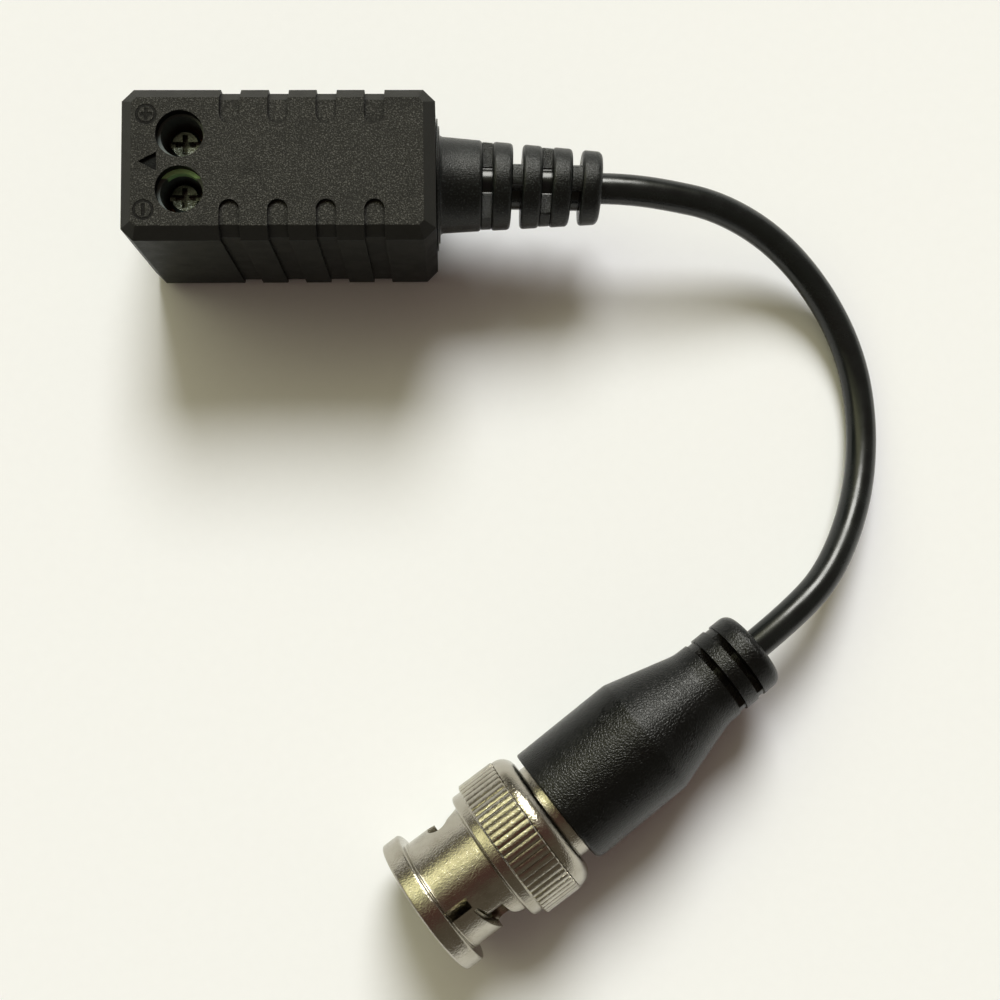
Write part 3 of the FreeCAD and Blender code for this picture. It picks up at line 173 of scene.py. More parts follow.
def rounded(points, steps=5):
    """A profile of (place, reach) pairs from corners (place, reach, rounding)."""
    profile = []
    last = len(points) - 1
    for index, (place, reach, rounding) in enumerate(points):
        corner = Vector((place, reach))
        if not rounding or index in (0, last):
            profile.append(tuple(corner))
            continue
        before = Vector(points[index - 1][:2]) - corner
        after = Vector(points[index + 1][:2]) - corner
        half = before.angle(after) / 2
        cut = min(rounding / math.tan(half), LARGEST_CUT * before.length, LARGEST_CUT * after.length)
        start, end = corner + before.normalized() * cut, corner + after.normalized() * cut
        inwards = (before.normalized() + after.normalized()).normalized()
        centre = corner + inwards * (cut / math.cos(half))
        sweep = math.pi - 2 * half
        for step in range(steps + 1):
            share = step / steps
            lead, trail = math.sin((1 - share) * sweep), math.sin(share * sweep)
            curve = centre + ((start - centre) * lead + (end - centre) * trail) / math.sin(sweep)
            profile.append(tuple(curve))
    return profile


def spaced(profile, longest):
    """The same profile with long runs divided, so that bump and shading stay even."""
    result = [profile[0]]
    for before, after in zip(profile, profile[1:]):
        parts = max(1, math.ceil(math.dist(before, after) / longest))
        for part in range(1, parts + 1):
            share = part / parts
            result.append(tuple(a + (b - a) * share for a, b in zip(before, after)))
    return result


def plain_stations(pairs):
    """Stations with the same reach all round, from (place, reach) pairs."""
    return [(place, ("plain", place, reach)) for place, reach in pairs]


def slot_stations(low, high, kind, edge):
    """Stations across a slot of a kind, with one close to each of its ends."""
    places = (low, low + edge, (low + high) / 2, high - edge, high)
    return [(place, ("slot", place, kind)) for place in places]


def lathe(name, placed, profile, sides, shape=None):
    """A hollow turned piece from (place, reach) pairs; shape may change a reach by its angle."""
    stations = [(place, (place, reach)) for place, reach in profile]
    change = shape or (lambda place, reach, angle: reach)
    return polar(name, placed, stations, lambda key, angle: change(*key, angle), sides, closed=True)


def sharpen(piece, degrees):
    """Marks edges over an angle as sharp."""
    bm = bmesh.new()
    bm.from_mesh(piece.data)
    for edge in bm.edges:
        if len(edge.link_faces) == 2 and edge.calc_face_angle(0) > math.radians(degrees):
            edge.smooth = False
    bm.to_mesh(piece.data)
    bm.free()


def apply_modifiers(piece):
    """Bakes a piece's modifiers into its mesh."""
    evaluated = piece.evaluated_get(bpy.context.evaluated_depsgraph_get())
    mesh = bpy.data.meshes.new_from_object(evaluated)
    piece.modifiers.clear()
    piece.data = mesh


# Strain relief: a flange, then a tapered stack of rings with slots that open in turn to two sides

RELIEF_LENGTH = 15.95
RELIEF_TAPER_START = 0.33
RELIEF_WIDE = 4.625
RELIEF_TAPER = 1.125
RELIEF_SIDES = 240
FLANGE = [
    (0.03, 0.5), (0.03, 6.2), (0.045, 6.27), (0.07, 6.3), (0.14, 6.3), (0.17, 6.27), (0.18, 6.2),
    (0.18, 5.7), (0.19, 5.62), (0.22, 5.6), (0.28, 5.6), (0.32, 5.56), (0.33, 5.48), (0.33, 4.85),
    (0.4, 4.72), (0.6, 4.62),
]
FLANGE_END = 0.6
SLOT_FIRST, SLOT_PITCH, SLOT_HALF = 4.9, 2.87, 0.475
RELIEF_SLOTS = [
    (SLOT_FIRST + SLOT_PITCH * slot - SLOT_HALF, SLOT_FIRST + SLOT_PITCH * slot + SLOT_HALF, slot % 2)
    for slot in range(4)
]
SLOT_EDGE = 0.06
RELIEF_CORE = 2.2
RELIEF_HOLE = 1.4
WEB_HALVES = (1.9, 1.0)
WEB_SINK = 0.13
RING_ROUND = 0.38
END_ROUND = 0.55
ARC_STEP = 15

# Tilt of the rings' planes beyond the relief's own heading, as (place, degrees); the flange stands
# square to the housing's wall
RELIEF_LEAN = [(0.4, -1.3), (4.4, 0.0), (7.8, 1.5), (10.6, 1.8), (13.5, 2.7), (16.0, 2.8)]


def relief_outline(place):
    """Reach of the relief outside its slots."""
    share = (place - RELIEF_TAPER_START) / (RELIEF_LENGTH - RELIEF_TAPER_START)
    return RELIEF_WIDE - RELIEF_TAPER * share


def relief_lean(place):
    """Tilt at a place, between the steps of RELIEF_LEAN."""
    if place <= RELIEF_LEAN[0][0]:
        return RELIEF_LEAN[0][1]
    for (start, first), (end, last) in zip(RELIEF_LEAN, RELIEF_LEAN[1:]):
        if place <= end:
            return first + (last - first) * (place - start) / (end - start)
    return RELIEF_LEAN[-1][1]


def corner_arc(rounding):
    """Steps round a rounded corner, as (in from the end, in from the outside) pairs."""
    turns = [math.radians(turn) for turn in range(0, 91, ARC_STEP)]
    return [(rounding * (1 - math.cos(turn)), rounding * (1 - math.sin(turn))) for turn in turns]


def ring_stations(low, high):
    """Stations of one ring: round at its far end, and at its near end unless it joins the flange."""
    pairs = []
    if low != FLANGE_END:
        pairs += [(low + along, relief_outline(low + along) - drop)
                  for along, drop in corner_arc(RING_ROUND)]
    middle = (low + high) / 2
    pairs.append((middle, relief_outline(middle)))
    ending = END_ROUND if high == RELIEF_LENGTH else RING_ROUND
    pairs += [(high - along, relief_outline(high - along) - drop)
              for along, drop in reversed(corner_arc(ending))]
    return plain_stations(pairs)


def relief_stations():
    """Stations of the whole relief, from the wall to the cable."""
    stations = plain_stations(FLANGE)
    start = FLANGE_END
    for low, high, kind in RELIEF_SLOTS:
        stations += ring_stations(start, low)
        stations += slot_stations(low, high, kind, SLOT_EDGE)
        start = high
    stations += ring_stations(start, RELIEF_LENGTH)
    return stations + plain_stations((RELIEF_LENGTH, reach) for reach in (RELIEF_CORE, RELIEF_HOLE))


def relief_radius(key, angle):
    """Reach at a station: plain rings, or in a slot the core and the web that joins the rings."""
    kind, place, value = key
    if kind == "plain":
        return value
    across = abs(math.cos(angle) if value == 0 else math.sin(angle))
    web = min(relief_outline(place) - WEB_SINK, WEB_HALVES[value] / max(across, 1e-6))
    return max(RELIEF_CORE, web)


relief = polar("slotted_relief", RELIEF, relief_stations(), relief_radius, RELIEF_SIDES, lean=relief_lean)
sharpen(relief, MOULDING_EDGE)


# Boot: a cone with a pocket in front, whose front edge is rounder on one side, and two slots

BOOT_FRONT = 4.55
BOOT_RADIUS = 6.17
BOOT_SIDES = 192
BOOT_RUN = 0.8
BOOT_POCKET = [(5.2, 3.3, 0), (5.2, 5.225, 0.1), (BOOT_FRONT, 5.225, 0.12), (BOOT_FRONT, 5.4, 0)]
BOOT_CONE = [(5.6, BOOT_RADIUS, 0), (15.3, 6.15, 1.0), (22.4, 4.16, 4.0), (23.9, 4.12, 0)]
BOOT_END = [(26.9, 4.1, 0), (29.1, 4.07, 1.0), (29.1, 1.4, 0)]
BOOT_ROUND_STEPS = 8
BOOT_EDGE_STEPS = (0.0, 0.015, 0.04, 0.08, 0.14, 0.22, 0.32, 0.45, 0.6, 0.76)
BOOT_EDGE_LEAST = 0.2
BOOT_EDGE_MORE = 0.55
BOOT_SLOTS = ((23.9, 24.7), (26.1, 26.9))
BOOT_SLOT_EDGE = 0.05
BOOT_BAND = 4.13
BOOT_CORE = 2.3
BOOT_WEB_REACH = 3.95
BOOT_WEB_HALF = 2.1


def boot_stations():
    """Stations of the boot from its front pocket round to its cable end."""
    (first_low, first_high), (second_low, second_high) = BOOT_SLOTS
    band = (first_high, first_high + BOOT_SLOT_EDGE, second_low - BOOT_SLOT_EDGE, second_low)
    stations = plain_stations(rounded(BOOT_POCKET, BOOT_ROUND_STEPS))
    stations += [(BOOT_FRONT + inwards, ("edge", inwards, BOOT_RADIUS)) for inwards in BOOT_EDGE_STEPS]
    stations += plain_stations(spaced(rounded(BOOT_CONE, BOOT_ROUND_STEPS), BOOT_RUN))
    stations += slot_stations(first_low, first_high, 0, BOOT_SLOT_EDGE)
    stations += plain_stations((place, BOOT_BAND) for place in band)
    stations += slot_stations(second_low, second_high, 0, BOOT_SLOT_EDGE)
    return stations + plain_stations(spaced(rounded(BOOT_END, BOOT_ROUND_STEPS), BOOT_RUN))


def boot_radius(key, angle):
    """Reach at a station of the boot; its slots open upwards and downwards."""
    kind, place, value = key
    if kind == "plain":
        return value
    if kind == "edge":
        rounding = BOOT_EDGE_LEAST + BOOT_EDGE_MORE * max(0.0, math.sin(angle))
        short = max(0.0, rounding - place)
        return value - rounding + math.sqrt(rounding ** 2 - short ** 2)
    return max(BOOT_CORE, min(BOOT_WEB_REACH, BOOT_WEB_HALF / max(abs(math.cos(angle)), 1e-6)))


boot = polar("cable_boot", BOOT, boot_stations(), boot_radius, BOOT_SIDES)
sharpen(boot, MOULDING_EDGE)


# Coupling ring, rear part: the knurl and the dome behind it

KNURL_COUNT = 60
SIDES_PER_RIDGE = 16
KNURL_START, KNURL_END = -1.97, 2.02
KNURL_LEAST = 6.9
GROOVE_HALF = 0.06
GROOVE_DEPTH = 0.16
RIDGE_DROP = 0.05
DOME_CENTRE = (2.05, 5.5)
DOME_SIZE = (1.65, 1.6)
DOME_STEPS = 12


def knurl_shape(place, reach, angle):
    """Grooves between slightly crowned ridges, on the knurl alone."""
    if reach < KNURL_LEAST or not KNURL_START < place < KNURL_END:
        return reach
    turn = (angle / (2 * math.pi) * KNURL_COUNT) % 1.0
    from_groove = min(turn, 1 - turn)
    if from_groove < GROOVE_HALF:
        return reach - GROOVE_DEPTH
    return reach - RIDGE_DROP * (1 - (from_groove - GROOVE_HALF) / (0.5 - GROOVE_HALF)) ** 2


def dome_corners():
    """The dome's quarter of an ellipse."""
    (place, reach), (length, height) = DOME_CENTRE, DOME_SIZE
    turns = [math.radians(90 / DOME_STEPS * step) for step in range(DOME_STEPS + 1)]
    return [(place + length * math.sin(turn), reach + height * math.cos(turn), 0) for turn in turns]


REAR_CORNERS = [
    (-3.3, 5.0, 0), (-3.3, 5.74, 0), (-3.2, 5.84, 0), (-3.12, 6.05, 0), (-3.1, 6.7, 0.5),
    (KNURL_START, 6.7, 0.12), (KNURL_START, 7.0, 0), (-1.82, 7.2, 0), (0.0, 7.2, 0), (1.85, 7.2, 0),
    (KNURL_END, 7.02, 0), (KNURL_END, 7.1, 0), *dome_corners(), (3.7, 3.9, 0.1), (2.3, 3.9, 0),
    (2.3, 4.9, 0), (-3.3, 4.9, 0),
]
REAR_ROUND_STEPS = 8
rear_ring = lathe("knurled_ring", RING, rounded(REAR_CORNERS, REAR_ROUND_STEPS),
                  KNURL_COUNT * SIDES_PER_RIDGE, knurl_shape)
sharpen(rear_ring, METAL_EDGE)


# Coupling ring, front part: the sleeve with its rim, two keyways and two cam slots

SLEEVE_CORNERS = [
    (-10.75, 4.9, 0), (-11.05, 5.2, 0.05), (-11.05, 6.95, 0.28), (-9.15, 6.95, 0.28),
    (-9.15, 5.725, 0.12), (-3.05, 5.725, 0), (-3.05, 4.9, 0),
]
SLEEVE_RUN = 0.3
SLEEVE_SIDES = 180
SLEEVE_EDGE = 0.07
SLEEVE_EDGE_ANGLE = 40
KEYWAY = [(3.8, 0.12), (5.5, 0.12), (5.5, 2.67), (3.8, 2.67)]
KEYWAY_LEVELS = (-12.5, -6.9)
CAM_LEVELS = (3.0, 7.5)
SEAT_HEIGHT, SEAT_PLACE, SEAT_RADIUS = -1.85, -5.5, 1.15
SEAT_STEPS = 14
CAM_HELIX = [(0.15, -6.65), (0.75, -5.98), (5.0, -7.06), (5.4, -6.9), (4.2, -6.08)]
CAM_REAR = [
    (4.2, -4.6), (3.4, -4.5), (2.6, -4.35), (2.1, -4.15), (1.4, -3.75), (0.8, -3.4), (0.3, -3.25),
    (-0.5, -3.25), (-1.1, -3.32), (-1.6, -3.55), (-1.95, -3.95),
]


def prism(name, outline_points, levels, to_local):
    """A closed prism over an outline, between two levels, in the ring's own millimetres."""
    count = len(outline_points)
    vertices = [to_local(across, up, level) for level in levels for across, up in outline_points]
    faces = [tuple(reversed(range(count))), tuple(range(count, 2 * count))]
    for corner in range(count):
        following = (corner + 1) % count
        faces.append((corner, following, count + following, count + corner))
    piece = finish_mesh(name, vertices, faces, RING)
    bm = bmesh.new()
    bm.from_mesh(piece.data)
    bmesh.ops.recalc_face_normals(bm, faces=bm.faces)
    bm.to_mesh(piece.data)
    bm.free()
    return piece


def cam_outline():
    """Side view of one cam slot as (height, place) pairs: round lug seat, helical edge, rear edge."""
    turns = [math.pi * step / SEAT_STEPS for step in range(2, SEAT_STEPS + 1)]
    seat = [(SEAT_HEIGHT - SEAT_RADIUS * math.sin(turn), SEAT_PLACE + SEAT_RADIUS * math.cos(turn))
            for turn in turns]
    return seat + CAM_HELIX + CAM_REAR


def sleeve_cutters():
    """Prisms for both keyways, along the axis, and for both cam slots, across it."""
    cutters = []
    for side in (1, -1):
        cutters.append(prism(f"keyway_{side}", KEYWAY, KEYWAY_LEVELS,
                             lambda x, y, z, side=side: (x * side, y * side, z)))
        cutters.append(prism(f"cam_{side}", cam_outline(), CAM_LEVELS,
                             lambda x, z, y, side=side: (x * side, y * side, z)))
    return cutters


def slotted_sleeve():
    """The turned sleeve with its slots cut and every edge broken a little."""
    piece = lathe("slotted_sleeve", RING, spaced(rounded(SLEEVE_CORNERS), SLEEVE_RUN), SLEEVE_SIDES)
    cutters = sleeve_cutters()
    for cutter in cutters:
        cut = piece.modifiers.new("cut", "BOOLEAN")
        cut.operation = "DIFFERENCE"
        cut.solver = "EXACT"
        cut.object = cutter
    bpy.context.view_layer.update()
    apply_modifiers(piece)
    for cutter in cutters:
        bpy.data.objects.remove(cutter)
    edge = piece.modifiers.new("edge", "BEVEL")
    edge.width = SLEEVE_EDGE * MM
    edge.segments = 2
    edge.limit_method = "ANGLE"
    edge.angle_limit = math.radians(SLEEVE_EDGE_ANGLE)
    apply_modifiers(piece)
    piece.data.shade_smooth()
    sharpen(piece, METAL_EDGE)
    return piece


sleeve = slotted_sleeve()


# Material helpers. Scales of noise are in waves per metre, depths of bump in metres.

class Shade:
    """A node material with short ways to add and link nodes."""

    def __init__(self, name):
        self.material = bpy.data.materials.new(name)
        self.material.use_nodes = True
        self.tree = self.material.node_tree
        self.shader = self.tree.nodes["Principled BSDF"]

    def add(self, kind, **settings):
        """A node with attributes set."""
        node = self.tree.nodes.new(kind)
        for key, value in settings.items():
            setattr(node, key, value)
        return node

    def put(self, socket, value):
        """Sets a socket, or links an output to it."""
        if isinstance(value, bpy.types.NodeSocket):
            self.tree.links.new(value, socket)
        else:
            socket.default_value = value

    def math(self, operation, first, second=0.0):
        """One Math node's result."""
        node = self.add("ShaderNodeMath", operation=operation)
        self.put(node.inputs[0], first)
        self.put(node.inputs[1], second)
        return node.outputs[0]

    def plus(self, first, second):
        """A sum."""
        return self.math("ADD", first, second)

    def minus(self, first, second):
        """A difference."""
        return self.math("SUBTRACT", first, second)

    def times(self, first, second):
        """A product."""
        return self.math("MULTIPLY", first, second)

    def size(self, value):
        """A number without its sign."""
        return self.math("ABSOLUTE", value)

    def distance(self, first, second):
        """Distance from an axis, from the two parts across it."""
        return self.math("SQRT", self.plus(self.times(first, first), self.times(second, second)))

    def place(self):
        """Object coordinates, in metres."""
        return self.add("ShaderNodeTexCoord").outputs["Object"]

    def parts(self, vector):
        """The three parts of a vector."""
        node = self.add("ShaderNodeSeparateXYZ")
        self.put(node.inputs[0], vector)
        return node.outputs

    def noise(self, vector, scale, detail=2.0, roughness=0.5, distortion=0.0):
        """Noise of a scale."""
        node = self.add("ShaderNodeTexNoise")
        for socket, value in (("Vector", vector), ("Scale", scale), ("Detail", detail),
                              ("Roughness", roughness), ("Distortion", distortion)):
            self.put(node.inputs[socket], value)
        return node.outputs["Fac"]

    def cells(self, vector, scale):
        """Distance to the edges of a cell pattern."""
        node = self.add("ShaderNodeTexVoronoi", feature="DISTANCE_TO_EDGE")
        self.put(node.inputs["Vector"], vector)
        self.put(node.inputs["Scale"], scale)
        return node.outputs["Distance"]

    def between(self, value, low, high, start=0.0, end=1.0):
        """A value mapped smoothly from one range to another, and held at its ends."""
        node = self.add("ShaderNodeMapRange", interpolation_type="SMOOTHSTEP")
        for socket, given in zip(node.inputs, (value, low, high, start, end)):
            self.put(socket, given)
        return node.outputs[0]

    def blend(self, factor, first, second):
        """A colour between two."""
        node = self.add("ShaderNodeMix", data_type="RGBA")
        for socket, value in zip((0, 6, 7), (factor, first, second)):
            self.put(node.inputs[socket], value)
        return node.outputs[2]

    def bump(self, height, depth, normal=None):
        """A bump of a depth, on top of another normal if there is one."""
        node = self.add("ShaderNodeBump")
        self.put(node.inputs["Height"], height)
        self.put(node.inputs["Distance"], depth)
        if normal is not None:
            self.put(node.inputs["Normal"], normal)
        return node.outputs[0]

    def set(self, **values):
        """Shader inputs by name, with underscores for spaces."""
        for key, value in values.items():
            self.put(self.shader.inputs[key.replace("_", " ")], value)


def grey(level, tint=(1.0, 1.0, 1.0)):
    """A colour of one level with a tint."""
    return (level * tint[0], level * tint[1], level * tint[2], 1.0)


COOL = (0.82, 1.0, 1.0)
WARM = (1.0, 1.0, 0.92)


# Housing

HOUSING = {
    # Side walls: painted darker than chamfers and top, as shade
    "wall": grey(0.009, COOL),
    "chamfer": grey(0.022, WARM),
    "top": grey(0.027, WARM),
    # Light grain specks that partly stand for painted glints
    "fleck_and_glint": grey(0.115, (1.0, 1.0, 0.95)),
    "hollow": grey(0.01),
    "worn": grey(0.014),
    "arrow": grey(0.006, COOL),
    "sign": grey(0.006),
    # Painted shade in corners and at recess edges
    "corner": grey(0.004),
}
TOP_LEVEL, ARROW_LEVEL = 17.95, 17.75
ARROW_BACK = (-10.85, -10.95)
CORNER_REACH = 0.45
SOFT_EDGE = 0.1
GRAIN_DEPTH = 0.00011
SIGN_DEPTH = 0.0002

# Centre of each circled sign, and half sizes of its bars
SIGNS = ((-11.95, 4.41, ((0.10, 0.52), (0.52, 0.10))), (-12.13, -4.52, ((0.10, 0.52),)))
SIGN_RADIUS = 0.84
LINE_HALF = 0.08
LINE_FADE = 0.07


def engraved_signs(shade, x, y):
    """Mask of the circled plus and the circled minus beside the wells."""
    total = None
    for centre_x, centre_y, bars in SIGNS:
        across = shade.minus(x, centre_x * MM)
        along = shade.minus(y, centre_y * MM)
        gap = shade.size(shade.minus(shade.distance(across, along), SIGN_RADIUS * MM))
        mask = shade.between(gap, LINE_HALF * MM, (LINE_HALF + LINE_FADE) * MM, 1.0, 0.0)
        for half_x, half_y in bars:
            inside_x = shade.between(shade.size(across), half_x * MM, (half_x + LINE_FADE) * MM, 1.0, 0.0)
            inside_y = shade.between(shade.size(along), half_y * MM, (half_y + LINE_FADE) * MM, 1.0, 0.0)
            mask = shade.math("MAXIMUM", mask, shade.times(inside_x, inside_y))
        total = mask if total is None else shade.math("MAXIMUM", total, mask)
    return total


def housing_colour(shade, masks, grain, patches):
    """Colours of the walls, painted darker than chamfers and top as shade, then of light specks (partly
    painted glints), hollows, wear, signs, and painted shade in corners.
    """
    up, flat, arrow, raised, lines = masks
    # Side walls, picked by how they face, are painted darker than chamfers and top as shade
    colour = shade.blend(shade.between(up, 0.4, 0.6), HOUSING["wall"], HOUSING["chamfer"])
    colour = shade.blend(raised, colour, HOUSING["top"])
    colour = shade.blend(shade.times(arrow, flat), colour, HOUSING["arrow"])
    # Light grain specks on the top, partly painted glints
    flecks_and_glints = shade.times(shade.between(grain, 0.51, 0.7), raised)
    colour = shade.blend(flecks_and_glints, colour, HOUSING["fleck_and_glint"])
    hollows = shade.times(shade.between(grain, 0.46, 0.32), raised)
    colour = shade.blend(shade.times(hollows, 0.7), colour, HOUSING["hollow"])
    worn = shade.times(shade.between(patches, 0.5, 0.75), flat)
    colour = shade.blend(shade.times(worn, 0.35), colour, HOUSING["worn"])
    colour = shade.blend(shade.times(lines, 0.85), colour, HOUSING["sign"])
    # Painted shade: darker where ambient occlusion finds corners and recess edges
    corners = shade.add("ShaderNodeAmbientOcclusion", samples=6)
    shade.put(corners.inputs["Distance"], CORNER_REACH * MM)
    painted_corner_shade = shade.between(corners.outputs["AO"], 0.5, 0.95, 0.75, 0.0)
    return shade.blend(painted_corner_shade, colour, HOUSING["corner"])


def housing_material():
    """Black moulded plastic: spark-eroded grain on the flat top, smoother sides painted darker as shade,
    engraved signs, painted shade in corners.
    """
    shade = Shade("housing_plastic")
    place = shade.place()
    x, y, z = shade.parts(place)
    up = shade.parts(shade.add("ShaderNodeNewGeometry").outputs["True Normal"])[2]
    flat = shade.between(up, 0.85, 0.97)
    arrow = shade.times(shade.between(z, TOP_LEVEL * MM, ARROW_LEVEL * MM),
                        shade.between(x, ARROW_BACK[0] * MM, ARROW_BACK[1] * MM))
    raised = shade.times(flat, shade.minus(1.0, arrow))
    lines = shade.times(engraved_signs(shade, x, y), flat)
    grain = shade.noise(place, scale=7600.0, roughness=0.65)
    fine = shade.noise(place, scale=14000.0)
    patches = shade.noise(place, scale=420.0, detail=3.0, roughness=0.55)
    colour = housing_colour(shade, (up, flat, arrow, raised, lines), grain, patches)
    rough = shade.plus(shade.times(flat, 0.08), shade.between(patches, 0.3, 0.7, 0.4, 0.48))
    height = shade.times(grain, shade.plus(shade.times(flat, 0.8), 0.2))
    height = shade.plus(height, shade.times(fine, 0.1))
    soft = shade.add("ShaderNodeBevel", samples=4)
    shade.put(soft.inputs["Radius"], SOFT_EDGE * MM)
    normal = shade.bump(height, GRAIN_DEPTH, soft.outputs[0])
    normal = shade.bump(shade.minus(1.0, lines), SIGN_DEPTH, normal)
    shade.set(Base_Color=colour, Roughness=rough, Normal=normal, Specular_IOR_Level=0.1)
    return shade.material


# Other mouldings

RELIEF_SLOPE = 0.0227
CORE_EDGE = (2.24, 2.32)
SCREW_X, SCREW_Y = -8.91, 2.54
# Edge of the painted shade in the screw bores; the crest values place the painted light on the green edge
# above one bore
BORE_EDGE = (2.3, 2.36)
CREST_DROP = (0.95, 0.85)
CREST_SIDE = (-0.2, -0.3)
CREST_OUT = (-1.2, -1.4)


def relief_material():
    """Black moulding: fine sparkly grain outside with light specks that are partly painted glints, smooth
    and glossy on the core seen in the slots.
    """
    shade = Shade("relief_moulding")
    place = shade.place()
    x, y, z = shade.parts(place)
    origin_x, origin_y, origin_z = RELIEF_ORIGIN
    slope = shade.times(shade.minus(x, origin_x * MM), RELIEF_SLOPE)
    across = shade.plus(shade.minus(y, origin_y * MM), slope)
    above = shade.minus(z, origin_z * MM)
    outside = shade.between(shade.distance(across, above), CORE_EDGE[0] * MM, CORE_EDGE[1] * MM)
    grain = shade.noise(place, scale=6600.0, detail=3.0, roughness=0.65)
    fine = shade.noise(place, scale=14000.0)
    colour = shade.blend(outside, grey(0.006, COOL), grey(0.005, COOL))
    # Light grain specks outside the core, partly painted glints
    flecks_and_glints = shade.times(shade.between(grain, 0.52, 0.75), outside)
    colour = shade.blend(flecks_and_glints, colour, grey(0.05, COOL))
    rough = shade.plus(shade.times(outside, 0.1), 0.2)
    height = shade.times(shade.plus(grain, shade.times(fine, 0.2)), outside)
    normal = shade.bump(height, 0.000055)
    shade.set(Base_Color=colour, Roughness=rough, Normal=normal, Specular_IOR_Level=0.3)
    return shade.material


def boot_material():
    """Black moulding with a fine leathery grain."""
    shade = Shade("boot_moulding")
    place = shade.place()
    cells = shade.cells(place, scale=3800.0)
    grain = shade.noise(place, scale=6000.0, detail=3.0, roughness=0.55, distortion=0.6)
    waves = shade.noise(place, scale=300.0)
    colour = shade.blend(shade.between(grain, 0.4, 0.75), grey(0.002, COOL), grey(0.005, COOL))
    rough = shade.between(waves, 0.3, 0.7, 0.26, 0.31)
    normal = shade.bump(shade.plus(shade.between(cells, 0.0, 0.25, 0.0, 0.5), grain), 0.00003)
    shade.set(Base_Color=colour, Roughness=rough, Normal=normal, Specular_IOR_Level=0.29)
    return shade.material


def jacket_material():
    """Glossy black cable jacket with faint draw marks."""
    shade = Shade("cable_jacket")
    place = shade.place()
    waves = shade.noise(place, scale=450.0, detail=3.0)
    fine = shade.noise(place, scale=9000.0)
    colour = shade.blend(waves, grey(0.006, COOL), grey(0.012, COOL))
    rough = shade.between(waves, 0.3, 0.7, 0.22, 0.29)
    normal = shade.bump(shade.plus(waves, shade.times(fine, 0.08)), 0.00003)
    shade.set(Base_Color=colour, Roughness=rough, Normal=normal, Specular_IOR_Level=0.4)
    return shade.material


def block_material():
    """Pale green block whose screw bores are painted dark as shade, with a painted lit green edge above
    one of them.
    """
    shade = Shade("terminal_green")
    place = shade.place()
    x, y, z = shade.parts(place)
    waves = shade.noise(place, scale=500.0)
    grain = shade.noise(place, scale=3000.0, detail=3.0, roughness=0.6)
    colour = shade.blend(shade.between(waves, 0.3, 0.7), (0.3, 0.5, 0.26, 1), (0.24, 0.42, 0.2, 1))
    across = shade.minus(x, SCREW_X * MM)
    along = shade.minus(shade.size(y), SCREW_Y * MM)
    # Painted shade in the screw bores
    painted_bore_shade = shade.between(shade.distance(across, along), BORE_EDGE[0] * MM, BORE_EDGE[1] * MM, 1.0, 0.0)
    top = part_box("terminal_block")[1][2]
    # Painted light on the green edge above the bore of one well
    painted_crest_light = shade.between(z, top - CREST_DROP[0] * MM, top - CREST_DROP[1] * MM)
    painted_crest_light = shade.times(painted_crest_light, shade.between(y, CREST_SIDE[0] * MM, CREST_SIDE[1] * MM))
    painted_crest_light = shade.times(painted_crest_light, shade.between(along, CREST_OUT[0] * MM, CREST_OUT[1] * MM))
    painted_bore_shade = shade.times(painted_bore_shade, shade.minus(1.0, painted_crest_light))
    colour = shade.blend(painted_bore_shade, colour, grey(0.12, COOL))
    colour = shade.blend(painted_crest_light, colour, (0.55, 0.95, 0.46, 1))
    rough = shade.between(grain, 0.3, 0.7, 0.4, 0.5)
    shade.set(Base_Color=colour, Roughness=rough, Normal=shade.bump(grain, 0.00002))
    return shade.material


def plastic_material(name, light, dark, rough, scale=2500.0, depth=0.00002):
    """Plain moulded plastic with a little unevenness."""
    shade = Shade(name)
    place = shade.place()
    waves = shade.noise(place, scale * 0.2)
    grain = shade.noise(place, scale, detail=3.0, roughness=0.6)
    colour = shade.blend(shade.between(waves, 0.3, 0.7), light, dark)
    roughness = shade.between(grain, 0.3, 0.7, rough, rough + 0.08)
    shade.set(Base_Color=colour, Roughness=roughness, Normal=shade.bump(grain, depth))
    return shade.material


def metal_material(name, light, dark, rough, pitting=0.4):
    """Plated metal: slightly uneven, with fine pitting and darker stains."""
    shade = Shade(name)
    place = shade.place()
    stains = shade.noise(place, scale=420.0, detail=4.0, roughness=0.6)
    orange_peel = shade.noise(place, scale=1700.0)
    fine = shade.noise(place, scale=5200.0, roughness=0.7)
    colour = shade.blend(shade.between(stains, 0.35, 0.75), light, dark)
    roughness = shade.between(stains, 0.3, 0.75, rough, rough + 0.1)
    height = shade.plus(shade.times(orange_peel, 0.7), shade.times(fine, pitting))
    shade.set(Base_Color=colour, Roughness=roughness, Normal=shade.bump(height, 0.000016), Metallic=1.0)
    return shade.material


